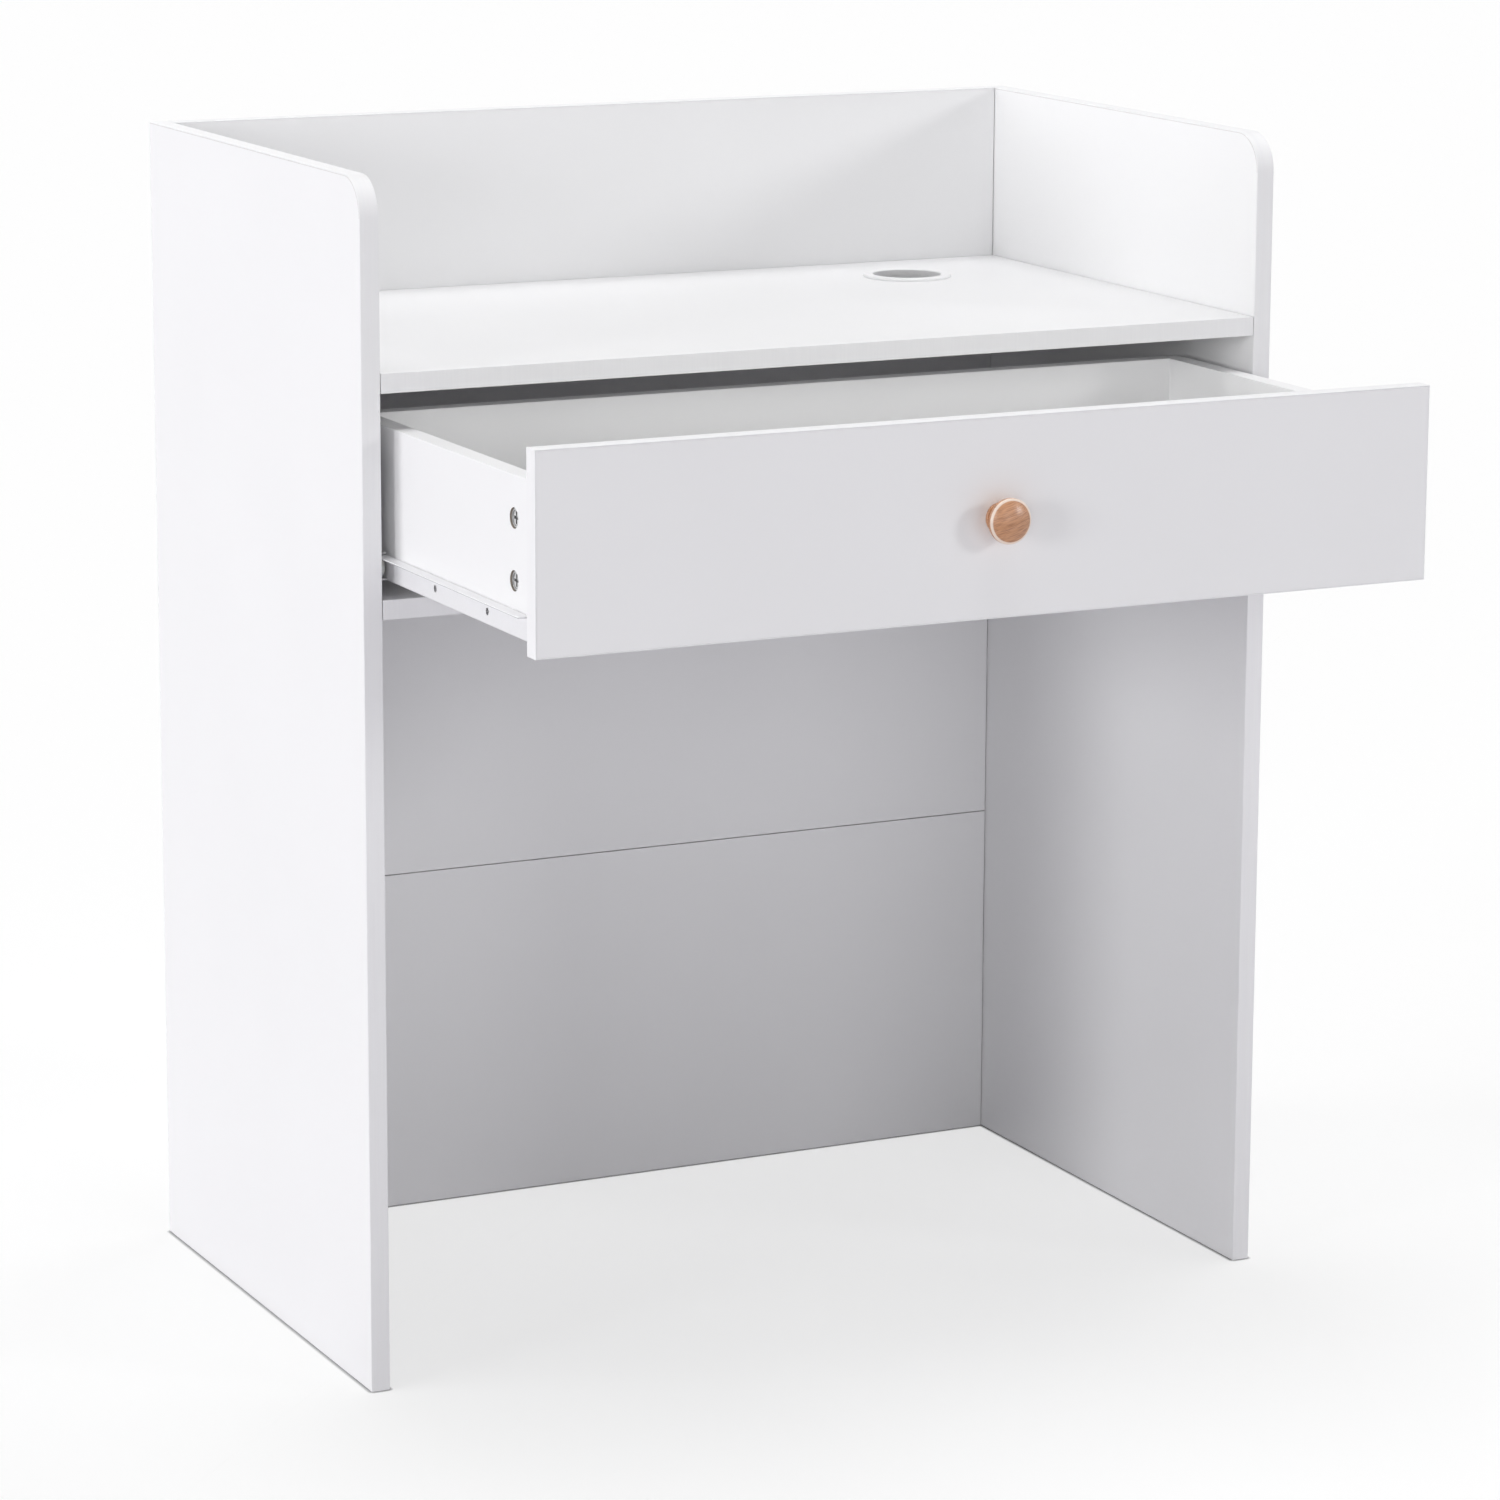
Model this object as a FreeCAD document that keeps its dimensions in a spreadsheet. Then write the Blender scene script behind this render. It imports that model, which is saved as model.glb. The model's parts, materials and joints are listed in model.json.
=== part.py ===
"""A reception desk in white melamine board, with one wide drawer on roller slides.

Millimetres. +X is to the right as seen from the staff side, +Y points to the visitors, +Z is up.
The origin is on the floor, at mid-width, in the plane of the visitor-side face.
The drawer is drawn pulled out to the stop of its slides.
"""
import FreeCAD, Part
import os
import re
import Sketcher

V = FreeCAD.Vector

# Driving dimensions, one cell each: name, size, what it is
SIZES = [
    ("desk_width", 780, "over both side panels"),
    ("desk_depth", 450, "side panels, front edge to rear edge"),
    ("desk_height", 930, "floor to the top of the panels"),
    ("desktop_height", 785, "floor to the working surface"),
    ("board", 15, "thickness of the carcass boards and the drawer front"),
    ("edge_strip", 1, "thickness of the strip glued on a board's edge"),
    ("corner_radius", 30, "rounding of a side panel's top-front corner"),
    ("seam_height", 290, "floor to the seam between the two back boards"),
    ("seam_gap", 0.8, "open joint at that seam"),
    ("shelf_cable_gap", 60, "gap for cables behind the board under the drawer"),
    ("drawer_front_height", 149, "drawer front, bottom edge to top edge"),
    ("front_gap", 3, "gap above and below the drawer front"),
    ("side_gap", 7, "gap at each end of the drawer front"),
    ("rear_clearance", 70, "space behind the closed drawer"),
    ("box_board", 15, "thickness of the drawer's sides and back"),
    ("box_height", 115, "height of the drawer's sides and back"),
    ("bottom_thickness", 3, "drawer bottom"),
    ("bottom_lift", 14, "underside of the drawer's sides to its bottom"),
    ("groove_depth", 6, "groove that holds the drawer bottom"),
    ("groove_gap", 0.2, "clearance of the drawer bottom in its grooves"),
    ("slide_space", 12.5, "space for a slide between the drawer and a side panel"),
    ("slide_steel", 1.2, "sheet thickness of the slides"),
    ("runner_lift", 11, "board under the drawer to the underside of a runner"),
    ("runner_height", 20, "height of the runner on the drawer"),
    ("runner_flange", 10.8, "reach of the runner's upper flange, outwards"),
    ("runner_foot", 12, "reach of the runner's foot under the drawer side"),
    ("rail_flange", 10.5, "reach of the rail's flanges from the side panel"),
    ("rail_headroom", 1, "gap between the runner and the rail's upper flange"),
    ("rail_setback", 1, "closed drawer front to the front end of a rail"),
    ("running_gap", 0.3, "clearance of a roller above and below"),
    ("roller_diameter", 16, "slide rollers"),
    ("roller_width", 6.5, "slide rollers, along the axle"),
    ("roller_chamfer", 0.6, "rim of a roller"),
    ("roller_side_gap", 1.1, "between a roller and what stands beside it"),
    ("axle_diameter", 5, "roller axles"),
    ("axle_gap", 0.05, "running clearance of a roller on its axle"),
    ("axle_head_diameter", 7.5, "head that keeps a roller on its axle"),
    ("axle_head_height", 0.8, "thickness of that head"),
    ("front_roller_setback", 8.6, "closed drawer front to the axle of a front roller"),
    ("rear_roller_setback", 12, "rear end of a runner to the axle of its roller"),
    ("roller_overlap", 63.4, "between the two axles of a slide, drawn out to the stop"),
    ("fit_gap", 0.1, "clearance of fasteners in their holes"),
    ("hole_end_gap", 0.5, "spare depth of a drilled hole"),
    ("drill_overrun", 1, "how far a drill starts outside the board"),
    ("dowel_diameter", 8, "wooden dowels"),
    ("dowel_length", 30, "wooden dowels"),
    ("dowel_in_face", 10, "part of a dowel that sits in a board's face"),
    ("dowel_chamfer", 1, "ends of a dowel"),
    ("cam_diameter", 15, "cam locks"),
    ("cam_height", 12.5, "cam locks"),
    ("cam_distance", 34, "board's end to the middle of its cam lock"),
    ("cam_head_gap", 0.6, "room round a bolt's head inside a cam lock"),
    ("cam_neck_gap", 0.2, "room round a bolt's neck in a cam lock's slot"),
    ("cam_cross_length", 8, "cross recess of a cam lock, tip to tip"),
    ("cam_cross_width", 1.6, "cross recess of a cam lock, width of an arm"),
    ("cam_cross_depth", 2, "cross recess of a cam lock"),
    ("bolt_thread", 11, "part of a cam bolt that is screwed into a board's face"),
    ("bolt_diameter", 5, "thread and neck of a cam bolt"),
    ("bolt_collar_diameter", 7, "collar and head of a cam bolt"),
    ("bolt_collar_height", 3, "collar of a cam bolt"),
    ("bolt_head_height", 3.5, "head of a cam bolt"),
    ("joint_setback", 70, "a board's edge to the first fastener"),
    ("back_dowel_setback", 60, "end of a back board to its first dowel"),
    ("back_cam_drop", 45, "underside of the desktop to the cam lock in the back"),
    ("seam_dowel_spacing", 250, "between the dowels in the back's seam"),
    ("desktop_dowel_spacing", 360, "between the dowels at the desktop's rear edge"),
    ("drawer_cam_low", 38.8, "underside of a drawer side to its lower cam lock"),
    ("drawer_cam_spacing", 45, "between the two cam locks of a drawer side"),
    ("slide_screw_diameter", 3, "screws of the slides"),
    ("slide_screw_head", 5.2, "countersunk head of those screws"),
    ("slide_screw_sink", 1.1, "height of that head"),
    ("slide_screw_length", 13, "screws of the slides"),
    ("slide_screw_first", 80, "front end of a slide to its first screw"),
    ("slide_screw_pitch", 96, "from that screw to the next"),
    ("slide_screw_rear", 45, "rear end of a slide to its last screw"),
    ("back_screw_diameter", 3.5, "screws of the drawer back"),
    ("back_screw_head", 7, "countersunk head of those screws"),
    ("back_screw_sink", 2, "height of that head"),
    ("back_screw_length", 40, "screws of the drawer back"),
    ("back_screw_spacing", 60, "between the two screws at one end of the drawer back"),
    ("knob_length", 22.5, "how far the knob stands out"),
    ("knob_head_diameter", 34, "knob, across its head"),
    ("knob_base_diameter", 23, "knob, where it meets the drawer front"),
    ("knob_base_height", 2, "straight part at the knob's foot"),
    ("knob_neck_radius", 14, "hollow of the knob's neck"),
    ("knob_rim_height", 3, "straight part of the knob's rim"),
    ("knob_dome_height", 5, "crown of the knob's face"),
    ("knob_rounding", 1.4, "rounding of the knob's rim"),
    ("knob_screw_diameter", 4, "screw that holds the knob"),
    ("knob_screw_grip", 13, "part of that screw inside the knob"),
    ("knob_screw_head", 8, "head of that screw"),
    ("knob_screw_head_height", 2.6, "head of that screw"),
    ("grommet_from_side", 135, "right side panel to the middle of the cable grommet"),
    ("grommet_from_back", 97, "back board to the middle of the cable grommet"),
    ("grommet_bore", 57, "clear opening of the grommet"),
    ("grommet_wall", 1.5, "sleeve of the grommet"),
    ("grommet_flange", 74, "diameter of the grommet's flange"),
    ("grommet_flange_height", 2.4, "thickness of the flange"),
    ("grommet_rounding", 1.2, "rounding of the flange's edge"),
    ("grommet_sleeve", 14, "part of the grommet inside the desktop"),
]

# Places that follow from the driving dimensions
PLACES = {
    "inner_half": "desk_width / 2 - board",
    "front_y": "0 - desk_depth",
    "back_y": "0 - board",
    "desktop_under": "desktop_height - board",
    "shelf_top": "desktop_under - drawer_front_height - 2 * front_gap",
    "shelf_rear_y": "back_y - shelf_cable_gap",
    "back_cam_z": "desktop_under - back_cam_drop",
    "upper_back_bottom": "seam_height + seam_gap / 2",
    "lower_back_top": "seam_height - seam_gap / 2",
    "slide_length": "desk_depth - 2 * board - rear_clearance",
    "closed_y": "front_y + board",
    "travel": "slide_length - front_roller_setback - rear_roller_setback - roller_overlap",
    "box_y": "closed_y - travel",
    "box_rear_y": "box_y + slide_length",
    "front_half": "inner_half - side_gap",
    "front_bottom": "shelf_top + front_gap",
    "front_top": "front_bottom + drawer_front_height",
    "front_mid": "front_bottom + drawer_front_height / 2",
    "box_half": "inner_half - slide_space",
    "box_inner_half": "box_half - box_board",
    "runner_bottom": "shelf_top + runner_lift",
    "runner_top": "runner_bottom + runner_height",
    "box_bottom": "runner_bottom + slide_steel",
    "box_top": "box_bottom + box_height",
    "bottom_z": "box_bottom + bottom_lift",
    "slide_mid": "runner_bottom + runner_height / 2",
    "roller_radius": "roller_diameter / 2",
    "roller_z": "runner_top - slide_steel - running_gap - roller_radius",
    "rail_floor": "roller_z - roller_radius - running_gap",
    "rail_ceiling": "runner_top + rail_headroom",
    "rail_y": "closed_y + rail_setback",
    "front_roller_y": "closed_y + front_roller_setback",
    "rear_roller_y": "box_rear_y - rear_roller_setback",
    "grommet_x": "inner_half - grommet_from_side",
    "grommet_y": "back_y - grommet_from_back",
    "grommet_hole": "grommet_bore + 2 * grommet_wall + 2 * fit_gap",
    "grommet_sleeve_radius": "grommet_bore / 2 + grommet_wall",
    "grommet_top": "grommet_sleeve + grommet_flange_height",
    "desktop_mid": "desktop_height - board / 2",
    "shelf_mid": "shelf_top - board / 2",
    "back_mid": "back_y / 2",
    "top_strip_bottom": "desk_height - edge_strip",
    "front_strip_y": "front_y + edge_strip",
    "drawer_cam_z": "box_bottom + drawer_cam_low",
    "box_back_y": "box_rear_y - box_board",
    "groove_half": "box_inner_half + groove_depth",
    "groove_front": "box_y - groove_depth",
    "groove_rear": "box_back_y + groove_depth",
    "core_half": "front_half - edge_strip",
    "core_bottom": "front_bottom + edge_strip",
    "core_top": "front_top - edge_strip",
    "bolt_head_start": "bolt_thread + cam_distance - bolt_head_height / 2",
    "bolt_end": "bolt_head_start + bolt_head_height",
    "knob_rim_front": "knob_length - knob_dome_height",
    "knob_rim_back": "knob_rim_front - knob_rim_height",
    "knob_dome_radius": "((knob_head_diameter / 2) ^ 2 + knob_dome_height ^ 2) / (2 * knob_dome_height)",
    "knob_hole_radius": "knob_screw_diameter / 2 + fit_gap",
    "knob_hole_depth": "knob_screw_grip + hole_end_gap",
    "knob_screw_seat": "knob_screw_grip + board",
    "runner_face": "box_half + slide_steel",
    "rail_face": "inner_half - slide_steel",
    "rail_reach": "inner_half - rail_flange",
    "roller_rim": "roller_radius - roller_chamfer",
    "roller_bore": "axle_diameter / 2 + axle_gap",
    "roller_start": "slide_steel + roller_side_gap",
    "axle_grip": "slide_steel + 2 * roller_side_gap + roller_width",
}

doc = FreeCAD.newDocument("reception_desk")
sheet = doc.addObject("Spreadsheet::Sheet", "Sizes")
for row, (alias, size, note) in enumerate(SIZES, start=1):
    sheet.set(f"A{row}", note)
    sheet.set(f"B{row}", str(size))
    sheet.setAlias(f"B{row}", alias)
doc.recompute()

ALIASES = {alias for alias, _, _ in SIZES}
SAME = 1e-6
SIDES = {"left": -1, "right": 1}
ALONG = {
    "+x": V(1, 0, 0), "-x": V(-1, 0, 0),
    "+y": V(0, 1, 0), "-y": V(0, -1, 0),
    "+z": V(0, 0, 1), "-z": V(0, 0, -1),
}
nodes = {}


def formula(text):
    """Write a formula of plain names as an expression on the sheet's cells."""
    def expand(match):
        word = match.group(0)
        if word in PLACES:
            return "(" + formula(PLACES[word]) + ")"
        return "Sizes." + word if word in ALIASES else word
    return re.sub(r"[a-z_]+[a-z]", expand, str(text))


def bind(obj, **properties):
    """Tie properties of an object to formulas."""
    for name, text in properties.items():
        obj.setExpression(name, formula(text))


def place(obj, x, y, z):
    """Tie an object's place to formulas, keeping its turn."""
    for axis, text in (("x", x), ("y", y), ("z", z)):
        obj.setExpression(f"Placement.Base.{axis}", formula(text))
    return obj


def turn(z_axis, x_axis=None):
    """The rotation that lays local Z, and if asked local X, along the named directions."""
    if x_axis is None:
        return FreeCAD.Rotation(V(0, 0, 1), ALONG[z_axis])
    return FreeCAD.Rotation(ALONG[x_axis], V(), ALONG[z_axis], "ZXY")


def block(name, x, y, z):
    """A block between two formulas along each axis."""
    obj = doc.addObject("Part::Box", name)
    bind(obj, Length=f"({x[1]}) - ({x[0]})", Width=f"({y[1]}) - ({y[0]})", Height=f"({z[1]}) - ({z[0]})")
    return place(obj, x[0], y[0], z[0])


def outward(side, near, far):
    """The X span of a distance from the middle, on the left or the right."""
    if SIDES[side] > 0:
        return (near, far)
    return (f"0 - ({far})", f"0 - ({near})")


def signed(side, distance):
    """A distance from the middle as an X formula, on the left or the right."""
    return f"{SIDES[side]} * ({distance})"


def join(name, shapes):
    obj = doc.addObject("Part::MultiFuse", name)
    obj.Shapes = shapes
    obj.Refine = True
    return obj


def group(name, members):
    obj = doc.addObject("Part::Compound", name)
    obj.Links = members
    return obj


def cut(name, base, tools):
    """The base with every tool taken out of it."""
    obj = doc.addObject("Part::Cut", name)
    obj.Base = base
    obj.Tool = tools[0] if len(tools) == 1 else group(name + "_tools", tools)
    obj.Refine = True
    return obj


def copy_of(source, x, y, z, rotation):
    """A copy of a fastener or a drill at a place given by formulas."""
    link = doc.addObject("App::Link", source.Name + "_copy")
    link.LinkedObject = source
    link.Placement = FreeCAD.Placement(V(), rotation)
    return place(link, x, y, z)


def node(name, obj):
    """Name the finished sub-part."""
    obj.Label = name
    nodes[name] = obj
    return obj


def origin_plane(body, role):
    return next(f for f in body.Origin.OriginFeatures if f.Role == role)


def value(text):
    """The present value of a formula, for the first guess of a sketch."""
    return float(sheet.evalExpression(formula(text)))


def outline(body, name, role, corners, bends=()):
    """A closed sketch through corners given by formulas.

    A bend (index, radius, centre) replaces the line that starts at a corner by an arc about a centre;
    a radius of None leaves it to the corners, with the centre on the sketch's vertical axis.
    """
    sketch = body.newObject("Sketcher::SketchObject", name)
    sketch.AttachmentSupport = [(origin_plane(body, role), "")]
    sketch.MapMode = "FlatFace"
    points = [V(value(a), value(b), 0) for a, b in corners]
    arcs = {index: (radius, centre) for index, radius, centre in bends}
    ends = []
    for i, start in enumerate(points):
        end = points[(i + 1) % len(points)]
        if i not in arcs:
            sketch.addGeometry(Part.LineSegment(start, end))
            ends.append((1, 2))
            continue
        centre = V(value(arcs[i][1][0]), value(arcs[i][1][1]), 0)
        first, last = start - centre, end - centre
        counter = first.cross(last).z > 0
        low, high = (first, last) if counter else (last, first)
        x_axis = V(1, 0, 0)
        angles = [x_axis.getAngle(v) if v.y >= 0 else -x_axis.getAngle(v) for v in (low, high)]
        sketch.addGeometry(Part.ArcOfCircle(Part.Circle(centre, V(0, 0, 1), first.Length), *angles))
        ends.append((1, 2) if counter else (2, 1))
    for i in range(len(points)):
        following = (i + 1) % len(points)
        sketch.addConstraint(Sketcher.Constraint("Coincident", i, ends[i][1], following, ends[following][0]))
    for i, corner in enumerate(corners):
        pin_point(sketch, f"corner{i}", i, ends[i][0], corner)
    for i, (radius, _) in arcs.items():
        if radius is None:
            sketch.addConstraint(Sketcher.Constraint("PointOnObject", i, 3, -2))
        else:
            index = sketch.addConstraint(Sketcher.Constraint("Radius", i, value(radius)))
            sketch.renameConstraint(index, f"bend{i}")
            sketch.setExpression(f"Constraints.bend{i}", formula(radius))
    return sketch


def pin_point(sketch, label, geometry, end, corner):
    """Tie one corner of a sketch to its two formulas."""
    for kind, axis, text in (("DistanceX", -2, corner[0]), ("DistanceY", -1, corner[1])):
        if str(text) == "0":
            sketch.addConstraint(Sketcher.Constraint("PointOnObject", geometry, end, axis))
            continue
        index = sketch.addConstraint(Sketcher.Constraint(kind, -1, 1, geometry, end, value(text)))
        sketch.renameConstraint(index, label + kind)
        sketch.setExpression(f"Constraints.{label}{kind}", formula(text))


def turned(name, corners, bends=()):
    """A body of revolution about its own Z axis, from corners given as (radius, height)."""
    body = doc.addObject("PartDesign::Body", name)
    sketch = outline(body, name + "_profile", "XZ_Plane", corners, bends)
    feature = body.newObject("PartDesign::Revolution", name + "_turning")
    feature.Profile = sketch
    feature.ReferenceAxis = (sketch, ["V_Axis"])
    feature.Angle = 360
    body.Tip = feature
    doc.recompute()
    return body


def rounded(body, name, radius, heights):
    """Round the circular edges of a turned body that lie at the given heights."""
    base = body.Tip
    levels = [value(height) for height in heights]
    widest = max(edge.BoundBox.XMax for edge in base.Shape.Edges)
    names = [
        f"Edge{i}" for i, edge in enumerate(base.Shape.Edges, start=1)
        if edge.BoundBox.ZLength < SAME and abs(edge.BoundBox.XMax - widest) < SAME
        and any(abs(edge.BoundBox.ZMin - level) < SAME for level in levels)
    ]
    feature = body.newObject("PartDesign::Fillet", name)
    feature.Base = (base, names)
    bind(feature, Radius=radius)
    body.Tip = feature
    doc.recompute()
    return body


def rod(name, radius, length, start="0"):
    """A plain drill along local Z, from a start height."""
    obj = doc.addObject("Part::Cylinder", name)
    bind(obj, Radius=radius, Height=length)
    return place(obj, "0", "0", start)


# Fasteners, each drawn once along its own Z axis, with the drill that makes room for it

# A dowel starts at the bottom of the hole in a board's face
dowel = turned("dowel", [
    ("0", "0"), ("dowel_diameter / 2 - dowel_chamfer", "0"), ("dowel_diameter / 2", "dowel_chamfer"),
    ("dowel_diameter / 2", "dowel_length - dowel_chamfer"),
    ("dowel_diameter / 2 - dowel_chamfer", "dowel_length"), ("0", "dowel_length"),
])
dowel_drill = rod("dowel_drill", "dowel_diameter / 2 + fit_gap", "dowel_length + 2 * hole_end_gap",
                  "0 - hole_end_gap")

# A cam bolt starts at the tip of its thread and ends inside the cam lock
cam_bolt = turned("cam_bolt", [
    ("0", "0"), ("bolt_diameter / 2", "0"), ("bolt_diameter / 2", "bolt_thread"),
    ("bolt_collar_diameter / 2", "bolt_thread"),
    ("bolt_collar_diameter / 2", "bolt_thread + bolt_collar_height"),
    ("bolt_diameter / 2", "bolt_thread + bolt_collar_height"), ("bolt_diameter / 2", "bolt_head_start"),
    ("bolt_collar_diameter / 2", "bolt_head_start"), ("bolt_collar_diameter / 2", "bolt_end"),
    ("0", "bolt_end"),
])
bolt_drill = join("bolt_drill", [
    rod("bolt_face_drill", "bolt_diameter / 2 + fit_gap", "bolt_thread + hole_end_gap", "0 - hole_end_gap"),
    rod("bolt_end_drill", "bolt_collar_diameter / 2 + fit_gap", "cam_distance", "bolt_thread"),
])


def cam_lock(name, thickness):
    """A cam drum: Z = 0 is its visible face, and the bolt comes in along X, halfway into the board."""
    drum = rod(name + "_drum", "cam_diameter / 2", "cam_height")
    head_radius = "bolt_collar_diameter / 2 + cam_head_gap"
    head_room = rod(name + "_head_room", head_radius, f"2 * ({head_radius})",
                    f"{thickness} / 2 - ({head_radius})")
    neck_half = "bolt_diameter / 2 + cam_neck_gap"
    neck_slot = block(
        name + "_neck_slot", ("0 - cam_diameter", "0"), (f"0 - ({neck_half})", neck_half),
        (f"{thickness} / 2 - ({neck_half})", f"{thickness} / 2 + ({neck_half})"))
    half, width = "cam_cross_length / 2", "cam_cross_width / 2"
    arms = [
        block(f"{name}_cross_{i}", (f"0 - {a}", a), (f"0 - {b}", b), ("0", "cam_cross_depth"))
        for i, (a, b) in enumerate([(half, width), (width, half)])
    ]
    return cut(name, drum, [join(name + "_hollow", [head_room, neck_slot]), join(name + "_cross", arms)])


carcass_cam = cam_lock("carcass_cam", "board")
drawer_cam = cam_lock("drawer_cam", "box_board")
cam_drill = rod("cam_drill", "cam_diameter / 2 + fit_gap", "cam_height + fit_gap + drill_overrun",
                "0 - drill_overrun")


def countersunk(name, kind):
    """A countersunk screw from its head down, and the drill for it."""
    shank, head, sink = f"{kind}_diameter / 2", f"{kind}_head / 2", f"{kind}_sink"
    screw = turned(name, [
        ("0", "0"), (head, "0"), (shank, sink), (shank, f"{kind}_length"), ("0", f"{kind}_length"),
    ])
    drill = turned(name + "_drill", [
        ("0", "0"), (f"{head} + fit_gap", "0"), (f"{shank} + fit_gap", sink),
        (f"{shank} + fit_gap", f"{kind}_length + hole_end_gap"), ("0", f"{kind}_length + hole_end_gap"),
    ])
    return screw, drill


slide_screw, slide_screw_drill = countersunk("slide_screw_pattern", "slide_screw")
back_screw, back_screw_drill = countersunk("back_screw_pattern", "back_screw")

# Where the carcass is joined

carcass_dowels, carcass_cams, carcass_bolts, carcass_drills = [], [], [], []


def add_dowel(dowels, drills, x, y, z, direction):
    """A dowel that starts in a board's face at this point and goes on into the next board's end."""
    rotation = turn(direction)
    dowels.append(copy_of(dowel, x, y, z, rotation))
    drills.append(copy_of(dowel_drill, x, y, z, rotation))


def add_cam(cams, bolts, drills, cam, bolt_place, cam_place, bolt_way, cam_way):
    """A cam lock and its bolt; bolt_way runs from face to end board, cam_way from the cam's face inwards."""
    bolts.append(copy_of(cam_bolt, *bolt_place, turn(bolt_way)))
    drills.append(copy_of(bolt_drill, *bolt_place, turn(bolt_way)))
    cams.append(copy_of(cam, *cam_place, turn(cam_way, bolt_way)))
    drills.append(copy_of(cam_drill, *cam_place, turn(cam_way)))


BOARD_ENDS = [
    ("desktop_mid", "desktop_under", "back_y"),
    ("shelf_mid", "shelf_top - board", "shelf_rear_y"),
]
for side in SIDES:
    inwards = "+x" if side == "left" else "-x"
    bolt_x = signed(side, "inner_half + bolt_thread")
    cam_x = signed(side, "inner_half - cam_distance")
    dowel_x = signed(side, "inner_half + dowel_in_face")
    for mid, underside, rear in BOARD_ENDS:
        for y in ("front_y + joint_setback", f"{rear} - joint_setback"):
            add_cam(carcass_cams, carcass_bolts, carcass_drills, carcass_cam,
                    (bolt_x, y, mid), (cam_x, y, underside), inwards, "+z")
        add_dowel(carcass_dowels, carcass_drills, dowel_x, f"(front_y + {rear}) / 2", mid, inwards)
    add_cam(carcass_cams, carcass_bolts, carcass_drills, carcass_cam,
            (bolt_x, "back_mid", "back_cam_z"), (cam_x, "back_y", "back_cam_z"), inwards, "+y")
    for z in ("back_dowel_setback", "lower_back_top - back_dowel_setback",
              "upper_back_bottom + back_dowel_setback", "desk_height - back_dowel_setback"):
        add_dowel(carcass_dowels, carcass_drills, dowel_x, "back_mid", z, inwards)
    add_dowel(carcass_dowels, carcass_drills, signed(side, "desktop_dowel_spacing / 2"),
              "back_y + dowel_in_face", "desktop_mid", "-y")
for step in (-1, 0, 1):
    add_dowel(carcass_dowels, carcass_drills, f"{step} * seam_dowel_spacing", "back_mid",
              "seam_height - dowel_length / 2", "+z")
node("carcass_dowels", group("carcass_dowel_set", carcass_dowels))
node("carcass_cam_locks", group("carcass_cam_set", carcass_cams))
node("carcass_cam_bolts", group("carcass_bolt_set", carcass_bolts))

# Screws of the slides, three to a rail and three to a runner, with their heads flush in the sheet

SCREWS_ALONG = (
    "slide_screw_first", "slide_screw_first + slide_screw_pitch", "slide_length - slide_screw_rear",
)
rail_screws, rail_drills, runner_screws, runner_drills = [], [], [], []
for side in SIDES:
    outwards, inwards = ("-x", "+x") if side == "left" else ("+x", "-x")
    for along in SCREWS_ALONG:
        rail_place = (signed(side, "rail_face"), f"rail_y + {along}", "slide_mid")
        runner_place = (signed(side, "runner_face"), f"box_y + {along}", "slide_mid")
        rail_screws.append(copy_of(slide_screw, *rail_place, turn(outwards)))
        rail_drills.append(copy_of(slide_screw_drill, *rail_place, turn(outwards)))
        runner_screws.append(copy_of(slide_screw, *runner_place, turn(inwards)))
        runner_drills.append(copy_of(slide_screw_drill, *runner_place, turn(inwards)))
node("cabinet_rail_screws", group("rail_screw_set", rail_screws))
node("runner_screws", group("runner_screw_set", runner_screws))

# Side panels: a board with one rounded corner, and strips glued to its front, top and rear edges


def side_panel(side):
    """A panel is drawn from its front edge (0) to its rear edge, and stands at its outer X."""
    place_x = "0 - desk_width / 2" if side == "left" else "inner_half"
    far, top = "desk_depth - edge_strip", "top_strip_bottom"
    centre = ("corner_radius", "desk_height - corner_radius")
    board = doc.addObject("PartDesign::Body", side + "_panel_board")
    profile = outline(board, side + "_panel_profile", "YZ_Plane", [
        ("edge_strip", "0"), (far, "0"), (far, top), (centre[0], top), ("edge_strip", centre[1]),
    ], [(3, "corner_radius - edge_strip", centre)])
    thicken(board, profile, side + "_panel_pad")
    strip = doc.addObject("PartDesign::Body", side + "_front_strip")
    profile = outline(strip, side + "_strip_profile", "YZ_Plane", [
        ("0", "0"), ("edge_strip", "0"), ("edge_strip", centre[1]), (centre[0], top),
        ("desk_depth", top), ("desk_depth", "desk_height"), (centre[0], "desk_height"), ("0", centre[1]),
    ], [(2, "corner_radius - edge_strip", centre), (6, "corner_radius", centre)])
    thicken(strip, profile, side + "_strip_pad")
    for body in (board, strip):
        place(body, place_x, "front_y", "0")
    rear_strip = block(side + "_rear_strip", (place_x, f"{place_x} + board"), ("0 - edge_strip", "0"),
                       ("0", top))
    node(f"{side}_side_panel", cut(side + "_panel_drilled", board, carcass_drills + rail_drills))
    node(f"{side}_side_edge_strip", group(side + "_edge_strips", [strip, rear_strip]))


def thicken(body, profile, name):
    """Pad a panel's outline to the board's thickness."""
    pad = body.newObject("PartDesign::Pad", name)
    pad.Profile = profile
    bind(pad, Length="board")
    body.Tip = pad
    doc.recompute()


for side in SIDES:
    side_panel(side)

# Boards between the panels

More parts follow.
